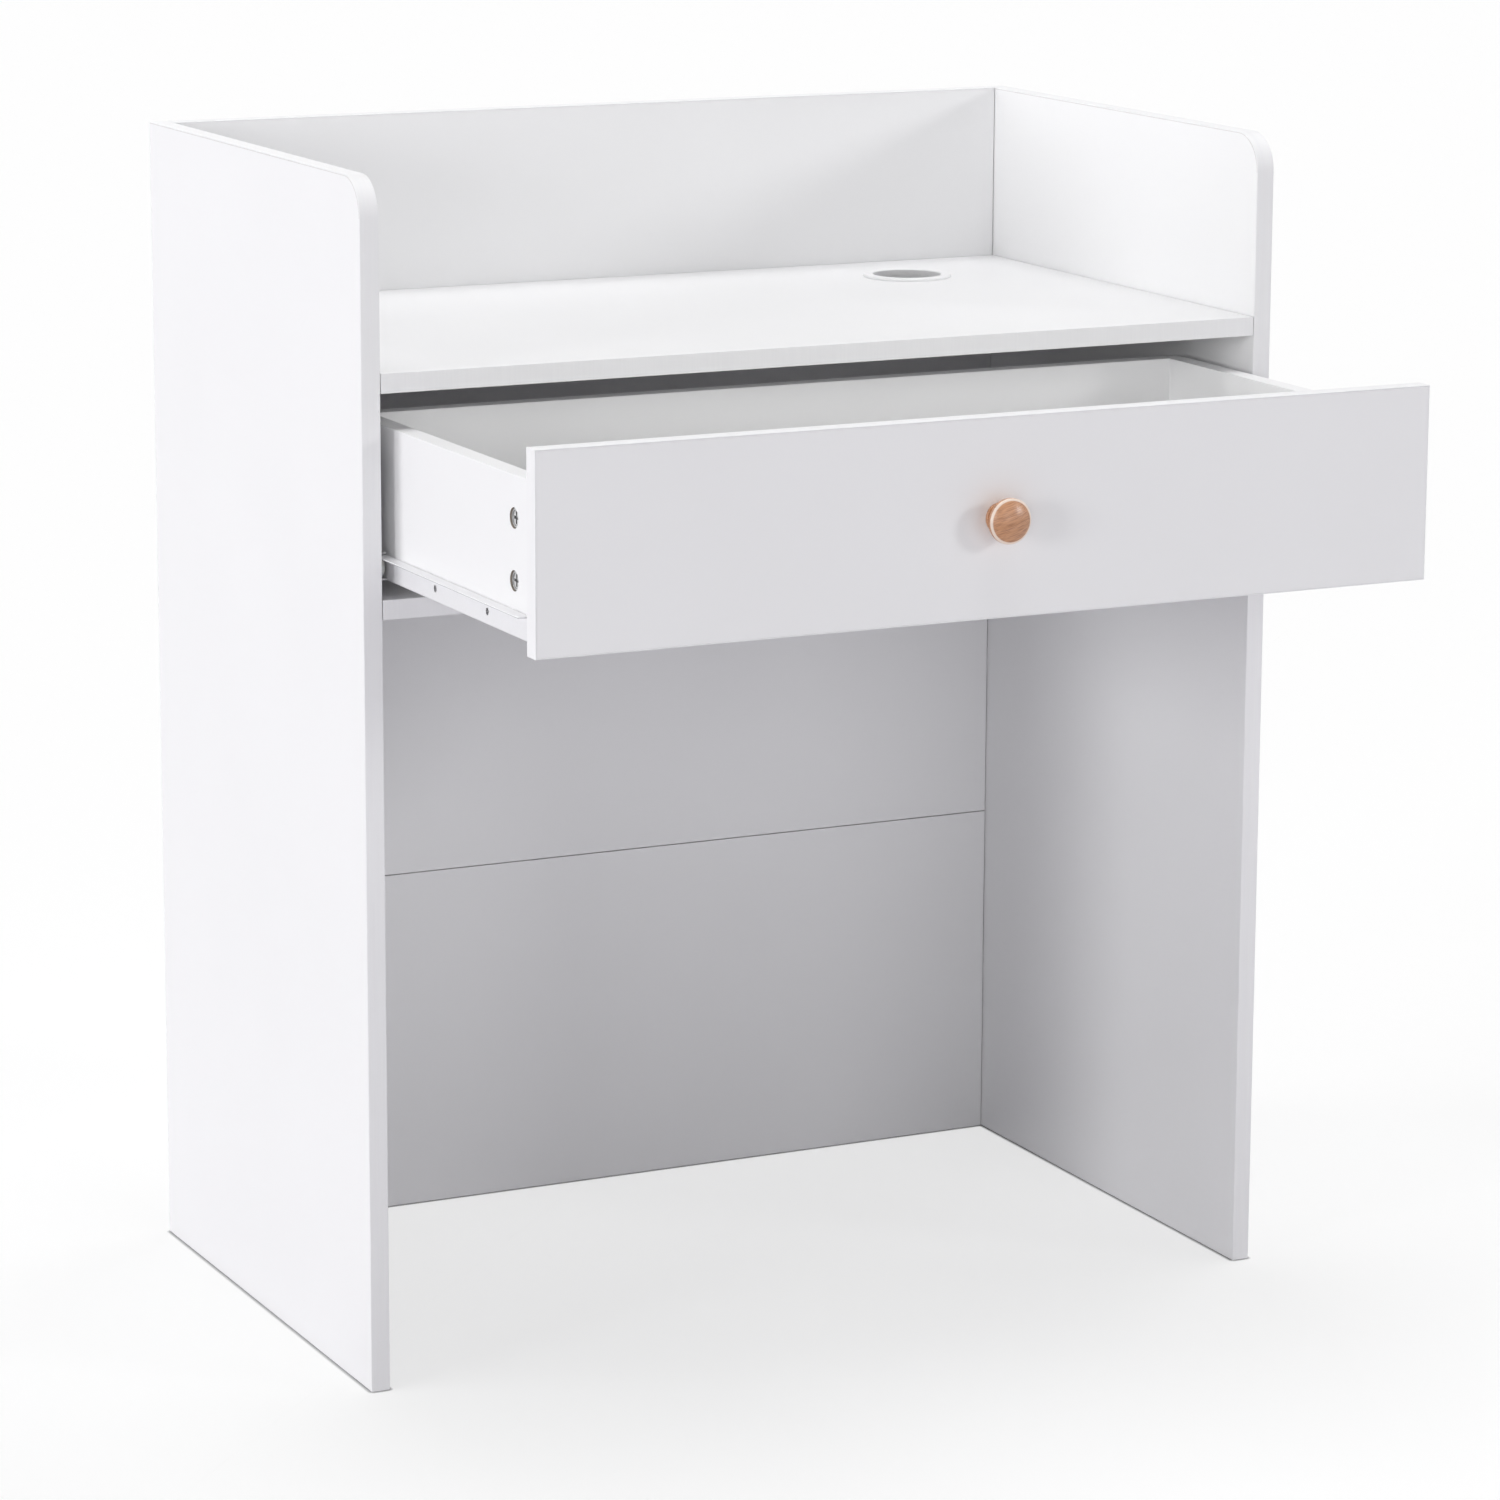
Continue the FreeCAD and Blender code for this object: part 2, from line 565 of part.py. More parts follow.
INSIDE = ("0 - inner_half", "inner_half")
grommet_drill = rod("grommet_drill", "grommet_hole / 2", "board")
place(grommet_drill, "grommet_x", "grommet_y", "desktop_under")
STRIP_Y = ("front_y", "front_strip_y")
TOP_STRIP_Z = ("top_strip_bottom", "desk_height")
DESKTOP_Z = ("desktop_under", "desktop_height")
desktop_board = block("desktop_board", INSIDE, ("front_strip_y", "back_y"), DESKTOP_Z)
node("desktop", cut("desktop_drilled", desktop_board, carcass_drills + [grommet_drill]))
node("desktop_edge_strip", block("desktop_strip", INSIDE, STRIP_Y, DESKTOP_Z))
SHELF_Z = ("shelf_top - board", "shelf_top")
shelf_board = block("shelf_board", INSIDE, ("front_strip_y", "shelf_rear_y"), SHELF_Z)
node("drawer_shelf", cut("shelf_drilled", shelf_board, carcass_drills))
node("drawer_shelf_edge_strip", block("shelf_strip", INSIDE, STRIP_Y, SHELF_Z))
upper_board = block("upper_back_board", INSIDE, ("back_y", "0"), ("upper_back_bottom", "top_strip_bottom"))
node("upper_back_panel", cut("upper_back_drilled", upper_board, carcass_drills))
node("upper_back_edge_strip", block("upper_back_strip", INSIDE, ("back_y", "0"), TOP_STRIP_Z))
lower_board = block("lower_back_board", INSIDE, ("back_y", "0"), ("0", "lower_back_top"))
node("lower_back_panel", cut("lower_back_drilled", lower_board, carcass_drills))

# Cable grommet: a sleeve through the desktop under a round flange

grommet = turned("grommet", [
    ("grommet_bore / 2", "0"), ("grommet_sleeve_radius", "0"), ("grommet_sleeve_radius", "grommet_sleeve"),
    ("grommet_flange / 2", "grommet_sleeve"), ("grommet_flange / 2", "grommet_top"),
    ("grommet_bore / 2", "grommet_top"),
])
rounded(grommet, "grommet_edge", "grommet_rounding", ["grommet_top"])
node("cable_grommet", place(grommet, "grommet_x", "grommet_y", "desktop_height - grommet_sleeve"))

# Drawer: the front, two sides, a back and a thin bottom held in grooves

drawer_cams, drawer_bolts, drawer_dowels, drawer_drills = [], [], [], []
back_screws, back_drills = [], []
for side in SIDES:
    inwards = "+x" if side == "left" else "-x"
    middle = signed(side, "box_half - box_board / 2")
    for step in (0, 1):
        z = f"drawer_cam_z + {step} * drawer_cam_spacing"
        add_cam(drawer_cams, drawer_bolts, drawer_drills, drawer_cam, (middle, "box_y - bolt_thread", z),
                (signed(side, "box_half"), "box_y + cam_distance", z), "+y", inwards)
        screw_place = (signed(side, "box_half"), "box_rear_y - box_board / 2",
                       f"(box_bottom + box_top) / 2 + ({step} - 0.5) * back_screw_spacing")
        back_screws.append(copy_of(back_screw, *screw_place, turn(inwards)))
        back_drills.append(copy_of(back_screw_drill, *screw_place, turn(inwards)))
    add_dowel(drawer_dowels, drawer_drills, middle, "box_y - dowel_in_face",
              "drawer_cam_z + drawer_cam_spacing / 2", "+y")
node("drawer_cam_locks", group("drawer_cam_set", drawer_cams))
node("drawer_cam_bolts", group("drawer_bolt_set", drawer_bolts))
node("drawer_dowels", group("drawer_dowel_set", drawer_dowels))
node("drawer_back_screws", group("back_screw_set", back_screws))

node("drawer_bottom", block(
    "drawer_bottom_sheet", ("groove_gap - groove_half", "groove_half - groove_gap"),
    ("groove_front + groove_gap", "groove_rear - groove_gap"), ("bottom_z", "bottom_z + bottom_thickness")))
groove = block(
    "bottom_groove", ("0 - groove_half", "groove_half"), ("groove_front", "groove_rear"),
    ("bottom_z - groove_gap", "bottom_z + bottom_thickness + groove_gap"))

BOX_Z = ("box_bottom", "box_top")
for side in SIDES:
    side_board = block(f"drawer_{side}_board", outward(side, "box_inner_half", "box_half"),
                       ("box_y", "box_rear_y"), BOX_Z)
    tools = drawer_drills + back_drills + runner_drills + [groove]
    node(f"drawer_{side}_side", cut(f"drawer_{side}_drilled", side_board, tools))
back_board = block("drawer_back_board", ("0 - box_inner_half", "box_inner_half"),
                   ("box_back_y", "box_rear_y"), BOX_Z)
node("drawer_back", cut("drawer_back_drilled", back_board, back_drills + [groove]))

FRONT_Y = ("box_y - board", "box_y")
FRONT_SPAN = ("0 - front_half", "front_half")
CORE_Z = ("core_bottom", "core_top")
knob_drill = rod("knob_drill", "knob_hole_radius", "board")
knob_drill.Placement = FreeCAD.Placement(V(), turn("-y"))
place(knob_drill, "0", "box_y", "front_mid")
front_core = block("drawer_front_board", ("0 - core_half", "core_half"), FRONT_Y, CORE_Z)
node("drawer_front", cut("drawer_front_drilled", front_core, drawer_drills + [groove, knob_drill]))
front_strips = [
    block("front_low_strip", FRONT_SPAN, FRONT_Y, ("front_bottom", "core_bottom")),
    block("front_top_strip", FRONT_SPAN, FRONT_Y, ("core_top", "front_top")),
] + [
    block(f"front_{side}_strip", outward(side, "core_half", "front_half"), FRONT_Y, CORE_Z) for side in SIDES
]
node("drawer_front_edge_strip", group("front_strips", front_strips))

# Knob: turned from its foot on the drawer front to the crown of its face


def neck_centre():
    """First guess for the centre of the neck's hollow, on the outer side of the neck."""
    start = V(value("knob_base_diameter / 2"), value("knob_base_height"), 0)
    end = V(value("knob_head_diameter / 2"), value("knob_rim_back"), 0)
    half = (end - start) * 0.5
    across = V(half.y, -half.x, 0).normalize()
    reach = (value("knob_neck_radius") ** 2 - half.Length ** 2) ** 0.5
    centre = start + half + across * reach
    return (centre.x, centre.y)


knob = turned("knob", [
    ("knob_hole_radius", "0"), ("knob_base_diameter / 2", "0"),
    ("knob_base_diameter / 2", "knob_base_height"), ("knob_head_diameter / 2", "knob_rim_back"),
    ("knob_head_diameter / 2", "knob_rim_front"), ("0", "knob_length"), ("0", "knob_hole_depth"),
    ("knob_hole_radius", "knob_hole_depth"),
], [(2, "knob_neck_radius", neck_centre()), (4, None, ("0", "knob_length - knob_dome_radius"))])
rounded(knob, "knob_rim", "knob_rounding", ["knob_rim_back", "knob_rim_front"])
knob.Placement = FreeCAD.Placement(V(), turn("-y"))
node("drawer_knob", place(knob, "0", "box_y - board", "front_mid"))

knob_screw = turned("knob_screw_turned", [
    ("0", "0"), ("knob_screw_diameter / 2", "0"), ("knob_screw_diameter / 2", "knob_screw_seat"),
    ("knob_screw_head / 2", "knob_screw_seat"),
    ("knob_screw_head / 2", "knob_screw_seat + knob_screw_head_height"),
    ("0", "knob_screw_seat + knob_screw_head_height"),
])
knob_screw.Placement = FreeCAD.Placement(V(), turn("+y"))
node("knob_screw", place(knob_screw, "0", "box_y - knob_screw_seat", "front_mid"))

# Slides: a runner on each drawer side, a rail on each panel, and a roller on each

RUNNER_Y = ("box_y", "box_rear_y")
RAIL_Y = ("rail_y", "rail_y + slide_length")
RAIL_SPAN = ("rail_reach", "inner_half")

axle = turned("axle", [
    ("0", "0"), ("axle_diameter / 2", "0"), ("axle_diameter / 2", "axle_grip"),
    ("axle_head_diameter / 2", "axle_grip"), ("axle_head_diameter / 2", "axle_grip + axle_head_height"),
    ("0", "axle_grip + axle_head_height"),
])
axle_drill = rod("axle_drill", "axle_diameter / 2 + fit_gap", "slide_steel")
roller = turned("roller", [
    ("roller_bore", "0"), ("roller_rim", "0"), ("roller_radius", "roller_chamfer"),
    ("roller_radius", "roller_width - roller_chamfer"), ("roller_rim", "roller_width"),
    ("roller_bore", "roller_width"),
])

front_axles, rear_axles = [], []
for side in SIDES:
    outwards, inwards = ("-x", "+x") if side == "left" else ("+x", "-x")
    runner = join(f"{side}_runner_sheet", [
        block(f"{side}_runner_web", outward(side, "box_half", "runner_face"), RUNNER_Y,
              ("runner_bottom", "runner_top")),
        block(f"{side}_runner_top", outward(side, "box_half", "box_half + runner_flange"), RUNNER_Y,
              ("runner_top - slide_steel", "runner_top")),
        block(f"{side}_runner_foot", outward(side, "box_half - runner_foot", "runner_face"), RUNNER_Y,
              ("runner_bottom", "box_bottom")),
    ])
    rear_axle_place = (signed(side, "box_half"), "rear_roller_y", "roller_z")
    rear_hole = copy_of(axle_drill, *rear_axle_place, turn(outwards))
    node(f"{side}_drawer_runner", cut(f"{side}_runner_drilled", runner, runner_drills + [rear_hole]))
    rail = join(f"{side}_rail_sheet", [
        block(f"{side}_rail_web", outward(side, "rail_face", "inner_half"), RAIL_Y,
              ("rail_floor - slide_steel", "rail_ceiling + slide_steel")),
        block(f"{side}_rail_floor", outward(side, *RAIL_SPAN), RAIL_Y,
              ("rail_floor - slide_steel", "rail_floor")),
        block(f"{side}_rail_top", outward(side, *RAIL_SPAN), RAIL_Y,
              ("rail_ceiling", "rail_ceiling + slide_steel")),
    ])
    front_axle_place = (signed(side, "inner_half"), "front_roller_y", "roller_z")
    front_hole = copy_of(axle_drill, *front_axle_place, turn(inwards))
    node(f"{side}_cabinet_rail", cut(f"{side}_rail_drilled", rail, rail_drills + [front_hole]))
    front_axles.append(copy_of(axle, *front_axle_place, turn(inwards)))
    rear_axles.append(copy_of(axle, *rear_axle_place, turn(outwards)))
    node(f"{side}_front_roller", copy_of(
        roller, signed(side, "inner_half - roller_start"), "front_roller_y", "roller_z", turn(inwards)))
    node(f"{side}_rear_roller", copy_of(
        roller, signed(side, "box_half + roller_start"), "rear_roller_y", "roller_z", turn(outwards)))
node("front_roller_axles", group("front_axle_set", front_axles))
node("rear_roller_axles", group("rear_axle_set", rear_axles))

doc.recompute()
for obj in doc.Objects:
    bad = {"Invalid", "Error"} & set(obj.State)
    if bad:
        raise RuntimeError(f"{obj.Label}: {', '.join(sorted(bad))}")
for name, obj in nodes.items():
    if obj.Shape.isNull() or not obj.Shape.isValid() or not obj.Shape.Solids:
        raise RuntimeError(f"{name}: its shape is empty or not valid")

os.makedirs("parts", exist_ok=True)
for name, obj in nodes.items():
    obj.Shape.exportStep(f"parts/{name}.step")
print(len(nodes), "sub-parts; travel", round(value("travel"), 3), "mm")
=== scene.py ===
"""The looks of a white reception desk with its drawer pulled out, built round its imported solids.

Metres, in the desk's own frame: +X is right as seen from the staff side, +Y points to the visitors, +Z is up.
"""
import json
import math

import bmesh
import bpy
from mathutils import Matrix, Vector


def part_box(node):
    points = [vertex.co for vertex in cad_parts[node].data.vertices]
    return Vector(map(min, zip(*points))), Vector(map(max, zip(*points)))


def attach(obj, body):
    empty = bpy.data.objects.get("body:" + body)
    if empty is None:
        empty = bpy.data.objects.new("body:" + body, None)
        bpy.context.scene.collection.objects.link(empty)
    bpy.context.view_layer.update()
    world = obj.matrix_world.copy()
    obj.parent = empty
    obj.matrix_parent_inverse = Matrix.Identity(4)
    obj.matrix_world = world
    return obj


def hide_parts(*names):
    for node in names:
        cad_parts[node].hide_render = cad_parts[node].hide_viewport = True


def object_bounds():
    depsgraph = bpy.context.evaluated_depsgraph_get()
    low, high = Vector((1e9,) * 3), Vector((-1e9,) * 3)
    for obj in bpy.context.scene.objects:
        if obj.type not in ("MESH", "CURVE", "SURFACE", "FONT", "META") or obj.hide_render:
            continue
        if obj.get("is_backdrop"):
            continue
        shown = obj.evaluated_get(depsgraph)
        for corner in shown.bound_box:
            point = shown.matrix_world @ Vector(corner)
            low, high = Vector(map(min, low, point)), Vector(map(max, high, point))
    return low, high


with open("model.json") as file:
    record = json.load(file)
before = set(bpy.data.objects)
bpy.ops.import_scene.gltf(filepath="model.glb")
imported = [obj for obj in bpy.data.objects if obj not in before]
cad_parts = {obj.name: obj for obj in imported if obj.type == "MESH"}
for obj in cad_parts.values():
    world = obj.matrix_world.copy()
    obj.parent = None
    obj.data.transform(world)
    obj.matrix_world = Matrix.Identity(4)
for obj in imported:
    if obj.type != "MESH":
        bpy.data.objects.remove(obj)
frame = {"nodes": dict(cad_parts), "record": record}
cad_low, cad_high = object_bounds()

MM = 0.001
X, Y, Z = Vector((1, 0, 0)), Vector((0, 1, 0)), Vector((0, 0, 1))
SIDES = {"left": -1, "right": 1}
BODY_OF = {node: body for body, nodes in frame["record"]["behaviour"]["bodies"].items() for node in nodes}
SLOT_OF = {part["node"]: part["material_slot"] for part in frame["record"]["subparts"]}

# Sizes of finishing detail that the solids leave out, and fineness of the meshes
STRIP = 1 * MM
PANEL_CORNER = 30 * MM
BOARD_EASE = 0.25 * MM
FOOT_EASE = 0.8 * MM
END_JOINT = 0.7 * MM * X
REAR_JOINT = 0.3 * MM * Y
STRIP_ROUND = 0.5 * MM
STRAIGHT_STRIP_ROUND = 0.4 * MM
STEEL = 1.2 * MM
STEEL_BEND = 1.3 * MM
STEEL_EASE = 0.55 * MM
FLANGE_SHORT = 2.5 * MM
NOTCH_REACH = 15 * MM
FIT = 0.1 * MM
OVERRUN = 1 * MM
WELD = 0.001 * MM
NEAR = 0.01 * MM
SHARP = math.radians(40)
FACING = 0.9
CORNER_STEPS = 20
FINE_TURN_STEPS = 96
TURN_STEPS = 64
SMALL_TURN_STEPS = 32


# Mesh tools

def make_active(obj):
    bpy.ops.object.select_all(action="DESELECT")
    obj.select_set(True)
    bpy.context.view_layer.objects.active = obj


def settle(obj):
    """Move an object's place, turn and scale into its mesh."""
    make_active(obj)
    bpy.ops.object.transform_apply(location=True, rotation=True, scale=True)
    return obj


def block(name, low, high):
    """A cube primitive stretched between two corners."""
    low, high = Vector(low), Vector(high)
    bpy.ops.object.select_all(action="DESELECT")
    bpy.ops.mesh.primitive_cube_add(size=1, location=(low + high) / 2)
    obj = bpy.context.object
    obj.name = name
    obj.scale = high - low
    return settle(obj)


def stand(obj, place, way):
    """Turn an object's Z along a direction and set its origin on a point."""
    obj.rotation_euler = Z.rotation_difference(way).to_euler()
    obj.location = place
    return settle(obj)


def change(obj, kind, **settings):
    """Add a modifier and apply it."""
    modifier = obj.modifiers.new(kind.lower(), kind)
    for name, value in settings.items():
        setattr(modifier, name, value)
    make_active(obj)
    bpy.ops.object.modifier_apply(modifier=modifier.name)


def joined(name, objs):
    """Join pieces into the first of them."""
    make_active(objs[0])
    for obj in objs[1:]:
        obj.select_set(True)
    if objs[1:]:
        bpy.ops.object.join()
    objs[0].name = name
    return objs[0]


def cut(obj, tools):
    """Take the tools out of a piece."""
    tool = joined("tool", tools)
    change(obj, "BOOLEAN", operation="DIFFERENCE", solver="EXACT", use_self=True, object=tool)
    bpy.data.objects.remove(tool)


def middle(item):
    """The middle of a face, an edge or a point."""
    points = [item] if isinstance(item, bmesh.types.BMVert) else list(item.verts)
    return sum((p.co for p in points), Vector()) / len(points)


def pick(obj, kind, test):
    """Open a piece in edit mode with only the faces, edges or points selected that pass a test."""
    make_active(obj)
    bpy.ops.object.mode_set(mode="EDIT")
    bpy.ops.mesh.select_mode(type=kind)
    bpy.ops.mesh.select_all(action="DESELECT")
    mesh = bmesh.from_edit_mesh(obj.data)
    for item in {"VERT": mesh.verts, "EDGE": mesh.edges, "FACE": mesh.faces}[kind]:
        if test(item):
            item.select_set(True)
    mesh.select_flush_mode()
    bmesh.update_edit_mesh(obj.data)


def close():
    bpy.ops.object.mode_set(mode="OBJECT")


def ease(obj, width, steps=2, test=lambda edge: True):
    """Round the sharp edges of a piece that pass a test."""
    pick(obj, "EDGE", lambda edge: edge.calc_face_angle(0) > SHARP and test(edge))
    bpy.ops.mesh.bevel(offset=width, segments=steps, affect="EDGES")
    close()


def drop_faces(obj, test):
    pick(obj, "FACE", test)
    bpy.ops.mesh.delete(type="FACE")
    close()


def turned(name, profile, steps=TURN_STEPS):
    """Draw a profile of (radius, height) points from one vertex and spin it round Z."""
    bpy.ops.object.select_all(action="DESELECT")
    bpy.ops.mesh.primitive_plane_add(size=MM, location=(profile[0][0], 0, profile[0][1]))
    obj = settle(bpy.context.object)
    obj.name = name
    bpy.ops.object.mode_set(mode="EDIT")
    bpy.ops.mesh.select_mode(type="VERT")
    bpy.ops.mesh.select_all(action="SELECT")
    bpy.ops.mesh.merge(type="CENTER")
    for (r0, h0), (r1, h1) in zip(profile, profile[1:]):
        bpy.ops.mesh.extrude_vertices_move(TRANSFORM_OT_translate={"value": (r1 - r0, 0, h1 - h0)})
    bpy.ops.mesh.select_all(action="SELECT")
    bpy.ops.mesh.spin(steps=steps, angle=2 * math.pi, center=(0, 0, 0), axis=(0, 0, 1))
    bpy.ops.mesh.select_all(action="SELECT")
    bpy.ops.mesh.remove_doubles(threshold=WELD)
    bpy.ops.mesh.normals_make_consistent(inside=False)
    close()
    return obj


def rounded(corners, steps=6):
    """A profile through (radius, height, rounding) corners, each rounding drawn as an arc."""
    points = [Vector(c[:2]) for c in corners]
    profile = []
    for i, corner in enumerate(corners):
        at = points[i]
        if corner[2] == 0:
            profile.append(tuple(at))
            continue
        back = (points[i - 1] - at).normalized()
        ahead = (points[(i + 1) % len(points)] - at).normalized()
        half = back.angle(ahead) / 2
        reach = corner[2] / math.tan(half)
        centre = at + (back + ahead).normalized() * (corner[2] / math.sin(half))
        start, end = at + back * reach - centre, at + ahead * reach - centre
        sweep = start.angle_signed(end)
        for step in range(steps + 1):
            profile.append(tuple(centre + Matrix.Rotation(-sweep * step / steps, 2) @ start))
    return profile


def solids(node):
    """The corners of each separate solid in a CAD node, read from a merged copy of its mesh."""
    mesh = bmesh.new()
    mesh.from_mesh(frame["nodes"][node].data)
    bmesh.ops.remove_doubles(mesh, verts=mesh.verts, dist=WELD)
    left, boxes = set(mesh.verts), []
    while left:
        island, edge = set(), [left.pop()]
        while edge:
            point = edge.pop()
            island.add(point.co.copy().freeze())
            near = {e.other_vert(point) for e in point.link_edges} & left
            left -= near
            edge.extend(near)
        boxes.append((Vector(map(min, zip(*island))), Vector(map(max, zip(*island)))))
    mesh.free()
    return sorted(boxes, key=lambda box: tuple(box[0]))


def heads(node, along, outwards=1):
    """Where each fastener of a node shows its head, and the way the head faces.

    Its axis is its longest or shortest side. Along X it faces away from the desk's middle, or towards it
    if outwards is -1, and along Y and Z it faces the staff side or the floor.
    """
    found = []
    for low, high in solids(node):
        size, centre = high - low, (low + high) / 2
        axis = along(range(3), key=lambda i: size[i])
        way = Vector()
        way[axis] = outwards * math.copysign(1, centre.x) if axis == 0 else -1
        found.append((centre + way * size[axis] / 2, way))
    return found


def copies(name, pattern, places):
    """Copies of a pattern, each with its own mesh, joined into one piece."""
    made = []
    for place, way in places:
        make_active(pattern)
        bpy.ops.object.duplicate()
        made.append(stand(bpy.context.object, place, way))
    bpy.data.objects.remove(pattern)
    return joined(name, made)


# Materials

def linear(code):
    """An sRGB hex colour as linear RGBA."""
    parts = [int(code[i:i + 2], 16) / 255 for i in (1, 3, 5)]
    return [p / 12.92 if p <= 0.04045 else ((p + 0.055) / 1.055) ** 2.4 for p in parts] + [1]


def per_mm(size):
    """The scale of a pattern whose marks are this many millimetres apart."""
    return 1 / (size * MM)


def add(tree, kind, settings=None, links=None):
    """Add a shader node, set its properties or sockets, and link its sockets to other nodes' outputs."""
    made = tree.nodes.new("ShaderNode" + kind)
    for name, value in (settings or {}).items():
        if isinstance(name, str) and hasattr(made, name):
            setattr(made, name, value)
        else:
            made.inputs[name].default_value = value
    for name, source in (links or {}).items():
        tree.links.new(source, made.inputs[name])
    return made


def begin(name, **sockets):
    """A new material with its shader, and the object coordinates its patterns follow."""
    material = bpy.data.materials.new(name)
    material.use_nodes = True
    tree = material.node_tree
    tree.nodes.clear()
    surface = add(tree, "BsdfPrincipled", {k.replace("_", " "): v for k, v in sockets.items()})
    add(tree, "OutputMaterial", links={"Surface": surface.outputs["BSDF"]})
    place = add(tree, "TexCoord").outputs["Object"]
    return material, tree, surface, place


def feed(tree, surface, **sources):
    """Link a shader's sockets to the colour, gloss and bump that were made for them."""
    for socket, source in sources.items():
        tree.links.new(source, surface.inputs[socket.replace("_", " ")])


# the attribute that marks bare chipboard core, and on the runners a painted shade line
BARE_OR_SHADE = "bare_core_or_painted_shade"


def melamine_board():
    """Chipboard faced with white melamine paper, pressed on a finely pebbled plate: even white, soft sheen.

    Where the facing is drilled or trimmed away, the brown chips show.
    """
    material, tree, surface, place = begin("melamine_faced_chipboard", IOR=1.5)
    # the pebble of the press plate is about 0.6 mm, drawn coarser so that it shows close up
    pebble = add(tree, "TexNoise", {"Scale": per_mm(2.2), "Detail": 3}, {"Vector": place})
    cloud = add(tree, "TexNoise", {"Scale": per_mm(140), "Detail": 1}, {"Vector": place})
    tone = add(tree, "Mix", {"data_type": "RGBA", 6: linear("#F0F0F1"), 7: linear("#F3F3F4")},
               {0: cloud.outputs["Fac"]})
    gloss = add(tree, "MapRange", {"To Min": 0.36, "To Max": 0.46}, {"Value": pebble.outputs["Fac"]})
    bump = add(tree, "Bump", {"Strength": 0.05, "Distance": 0.2 * MM}, {"Height": pebble.outputs["Fac"]})
    chips = add(tree, "TexNoise", {"Scale": per_mm(1.5), "Detail": 2}, {"Vector": place})
    core = add(tree, "Mix", {"data_type": "RGBA", 6: linear("#857B72"), 7: linear("#ADA398")},
               {0: chips.outputs["Fac"]})
    bare_or_shade_mark = add(tree, "Attribute", {"attribute_name": BARE_OR_SHADE})
    shown = add(tree, "Mix", {"data_type": "RGBA"},
                {0: bare_or_shade_mark.outputs["Fac"], 6: tone.outputs[2], 7: core.outputs[2]})
    feed(tree, surface, Base_Color=shown.outputs[2], Roughness=gloss.outputs["Result"],
         Normal=bump.outputs["Normal"])
    return material


def abs_edging():
    """White ABS edging, scraped and buffed: a little duller than the board, with faint drag lines."""
    material, tree, surface, place = begin("abs_edging", IOR=1.53)
    # buffing marks are about 0.3 mm apart, drawn coarser so that they show close up
    stretch = add(tree, "Mapping", {"Scale": (per_mm(1.2), per_mm(60), per_mm(60))}, {"Vector": place})
    drag = add(tree, "TexNoise", {"Scale": 1, "Detail": 2}, {"Vector": stretch.outputs["Vector"]})
    tone = add(tree, "Mix", {"data_type": "RGBA", 6: linear("#EDEDEF"), 7: linear("#F2F2F3")},
               {0: drag.outputs["Fac"]})
    gloss = add(tree, "MapRange", {"To Min": 0.5, "To Max": 0.62}, {"Value": drag.outputs["Fac"]})
    feed(tree, surface, Base_Color=tone.outputs[2], Roughness=gloss.outputs["Result"])
    return material


def painted_hardboard():
    """Hardboard painted white by roller: slightly warm, with the faint stipple of the roller."""
    material, tree, surface, place = begin("painted_hardboard", IOR=1.5)
    stipple = add(tree, "TexNoise", {"Scale": per_mm(3), "Detail": 2}, {"Vector": place})
    tone = add(tree, "Mix", {"data_type": "RGBA", 6: linear("#E9E9E7"), 7: linear("#F0F0EE")},
               {0: stipple.outputs["Fac"]})
    gloss = add(tree, "MapRange", {"To Min": 0.45, "To Max": 0.6}, {"Value": stipple.outputs["Fac"]})
    bump = add(tree, "Bump", {"Strength": 0.08, "Distance": 0.2 * MM}, {"Height": stipple.outputs["Fac"]})
    feed(tree, surface, Base_Color=tone.outputs[2], Roughness=gloss.outputs["Result"],
         Normal=bump.outputs["Normal"])
    return material


def powder_coat():
    """Steel sheet powder-coated white: a thick even coat with orange peel, drawn grey as a painted shade line
    where marked.
    """
    material, tree, surface, place = begin(
        "powder_coated_steel", IOR=1.5, Coat_Weight=0.15, Coat_Roughness=0.2)
    peel = add(tree, "TexNoise", {"Scale": per_mm(1.5), "Detail": 1}, {"Vector": place})
    coat = add(tree, "Mix", {"data_type": "RGBA", 6: linear("#E6E6E8"), 7: linear("#ECECEE")},
               {0: peel.outputs["Fac"]})
    # painted shade: marked faces are drawn grey as a shade line
    bare_or_shade_mark = add(tree, "Attribute", {"attribute_name": BARE_OR_SHADE})
    tone = add(tree, "Mix", {"data_type": "RGBA", 7: linear("#A9AAAD")},
               {0: bare_or_shade_mark.outputs["Fac"], 6: coat.outputs[2]})
    gloss = add(tree, "MapRange", {"To Min": 0.34, "To Max": 0.44}, {"Value": peel.outputs["Fac"]})
    bump = add(tree, "Bump", {"Strength": 0.15, "Distance": 0.1 * MM}, {"Height": peel.outputs["Fac"]})
    feed(tree, surface, Base_Color=tone.outputs[2], Roughness=gloss.outputs["Result"],
         Normal=bump.outputs["Normal"])
    return material


def acetal():
    """Moulded acetal: milky white and slippery, with a little light inside."""
    material, tree, surface, place = begin(
        "moulded_acetal", IOR=1.48, Subsurface_Weight=0.15, Subsurface_Scale=1.5 * MM)
    flow = add(tree, "TexNoise", {"Scale": per_mm(6), "Detail": 1}, {"Vector": place})
    tone = add(tree, "Mix", {"data_type": "RGBA", 6: linear("#DFDFDA"), 7: linear("#E8E8E4")},
               {0: flow.outputs["Fac"]})
    gloss = add(tree, "MapRange", {"To Min": 0.26, "To Max": 0.36}, {"Value": flow.outputs["Fac"]})
    feed(tree, surface, Base_Color=tone.outputs[2], Roughness=gloss.outputs["Result"])
    return material


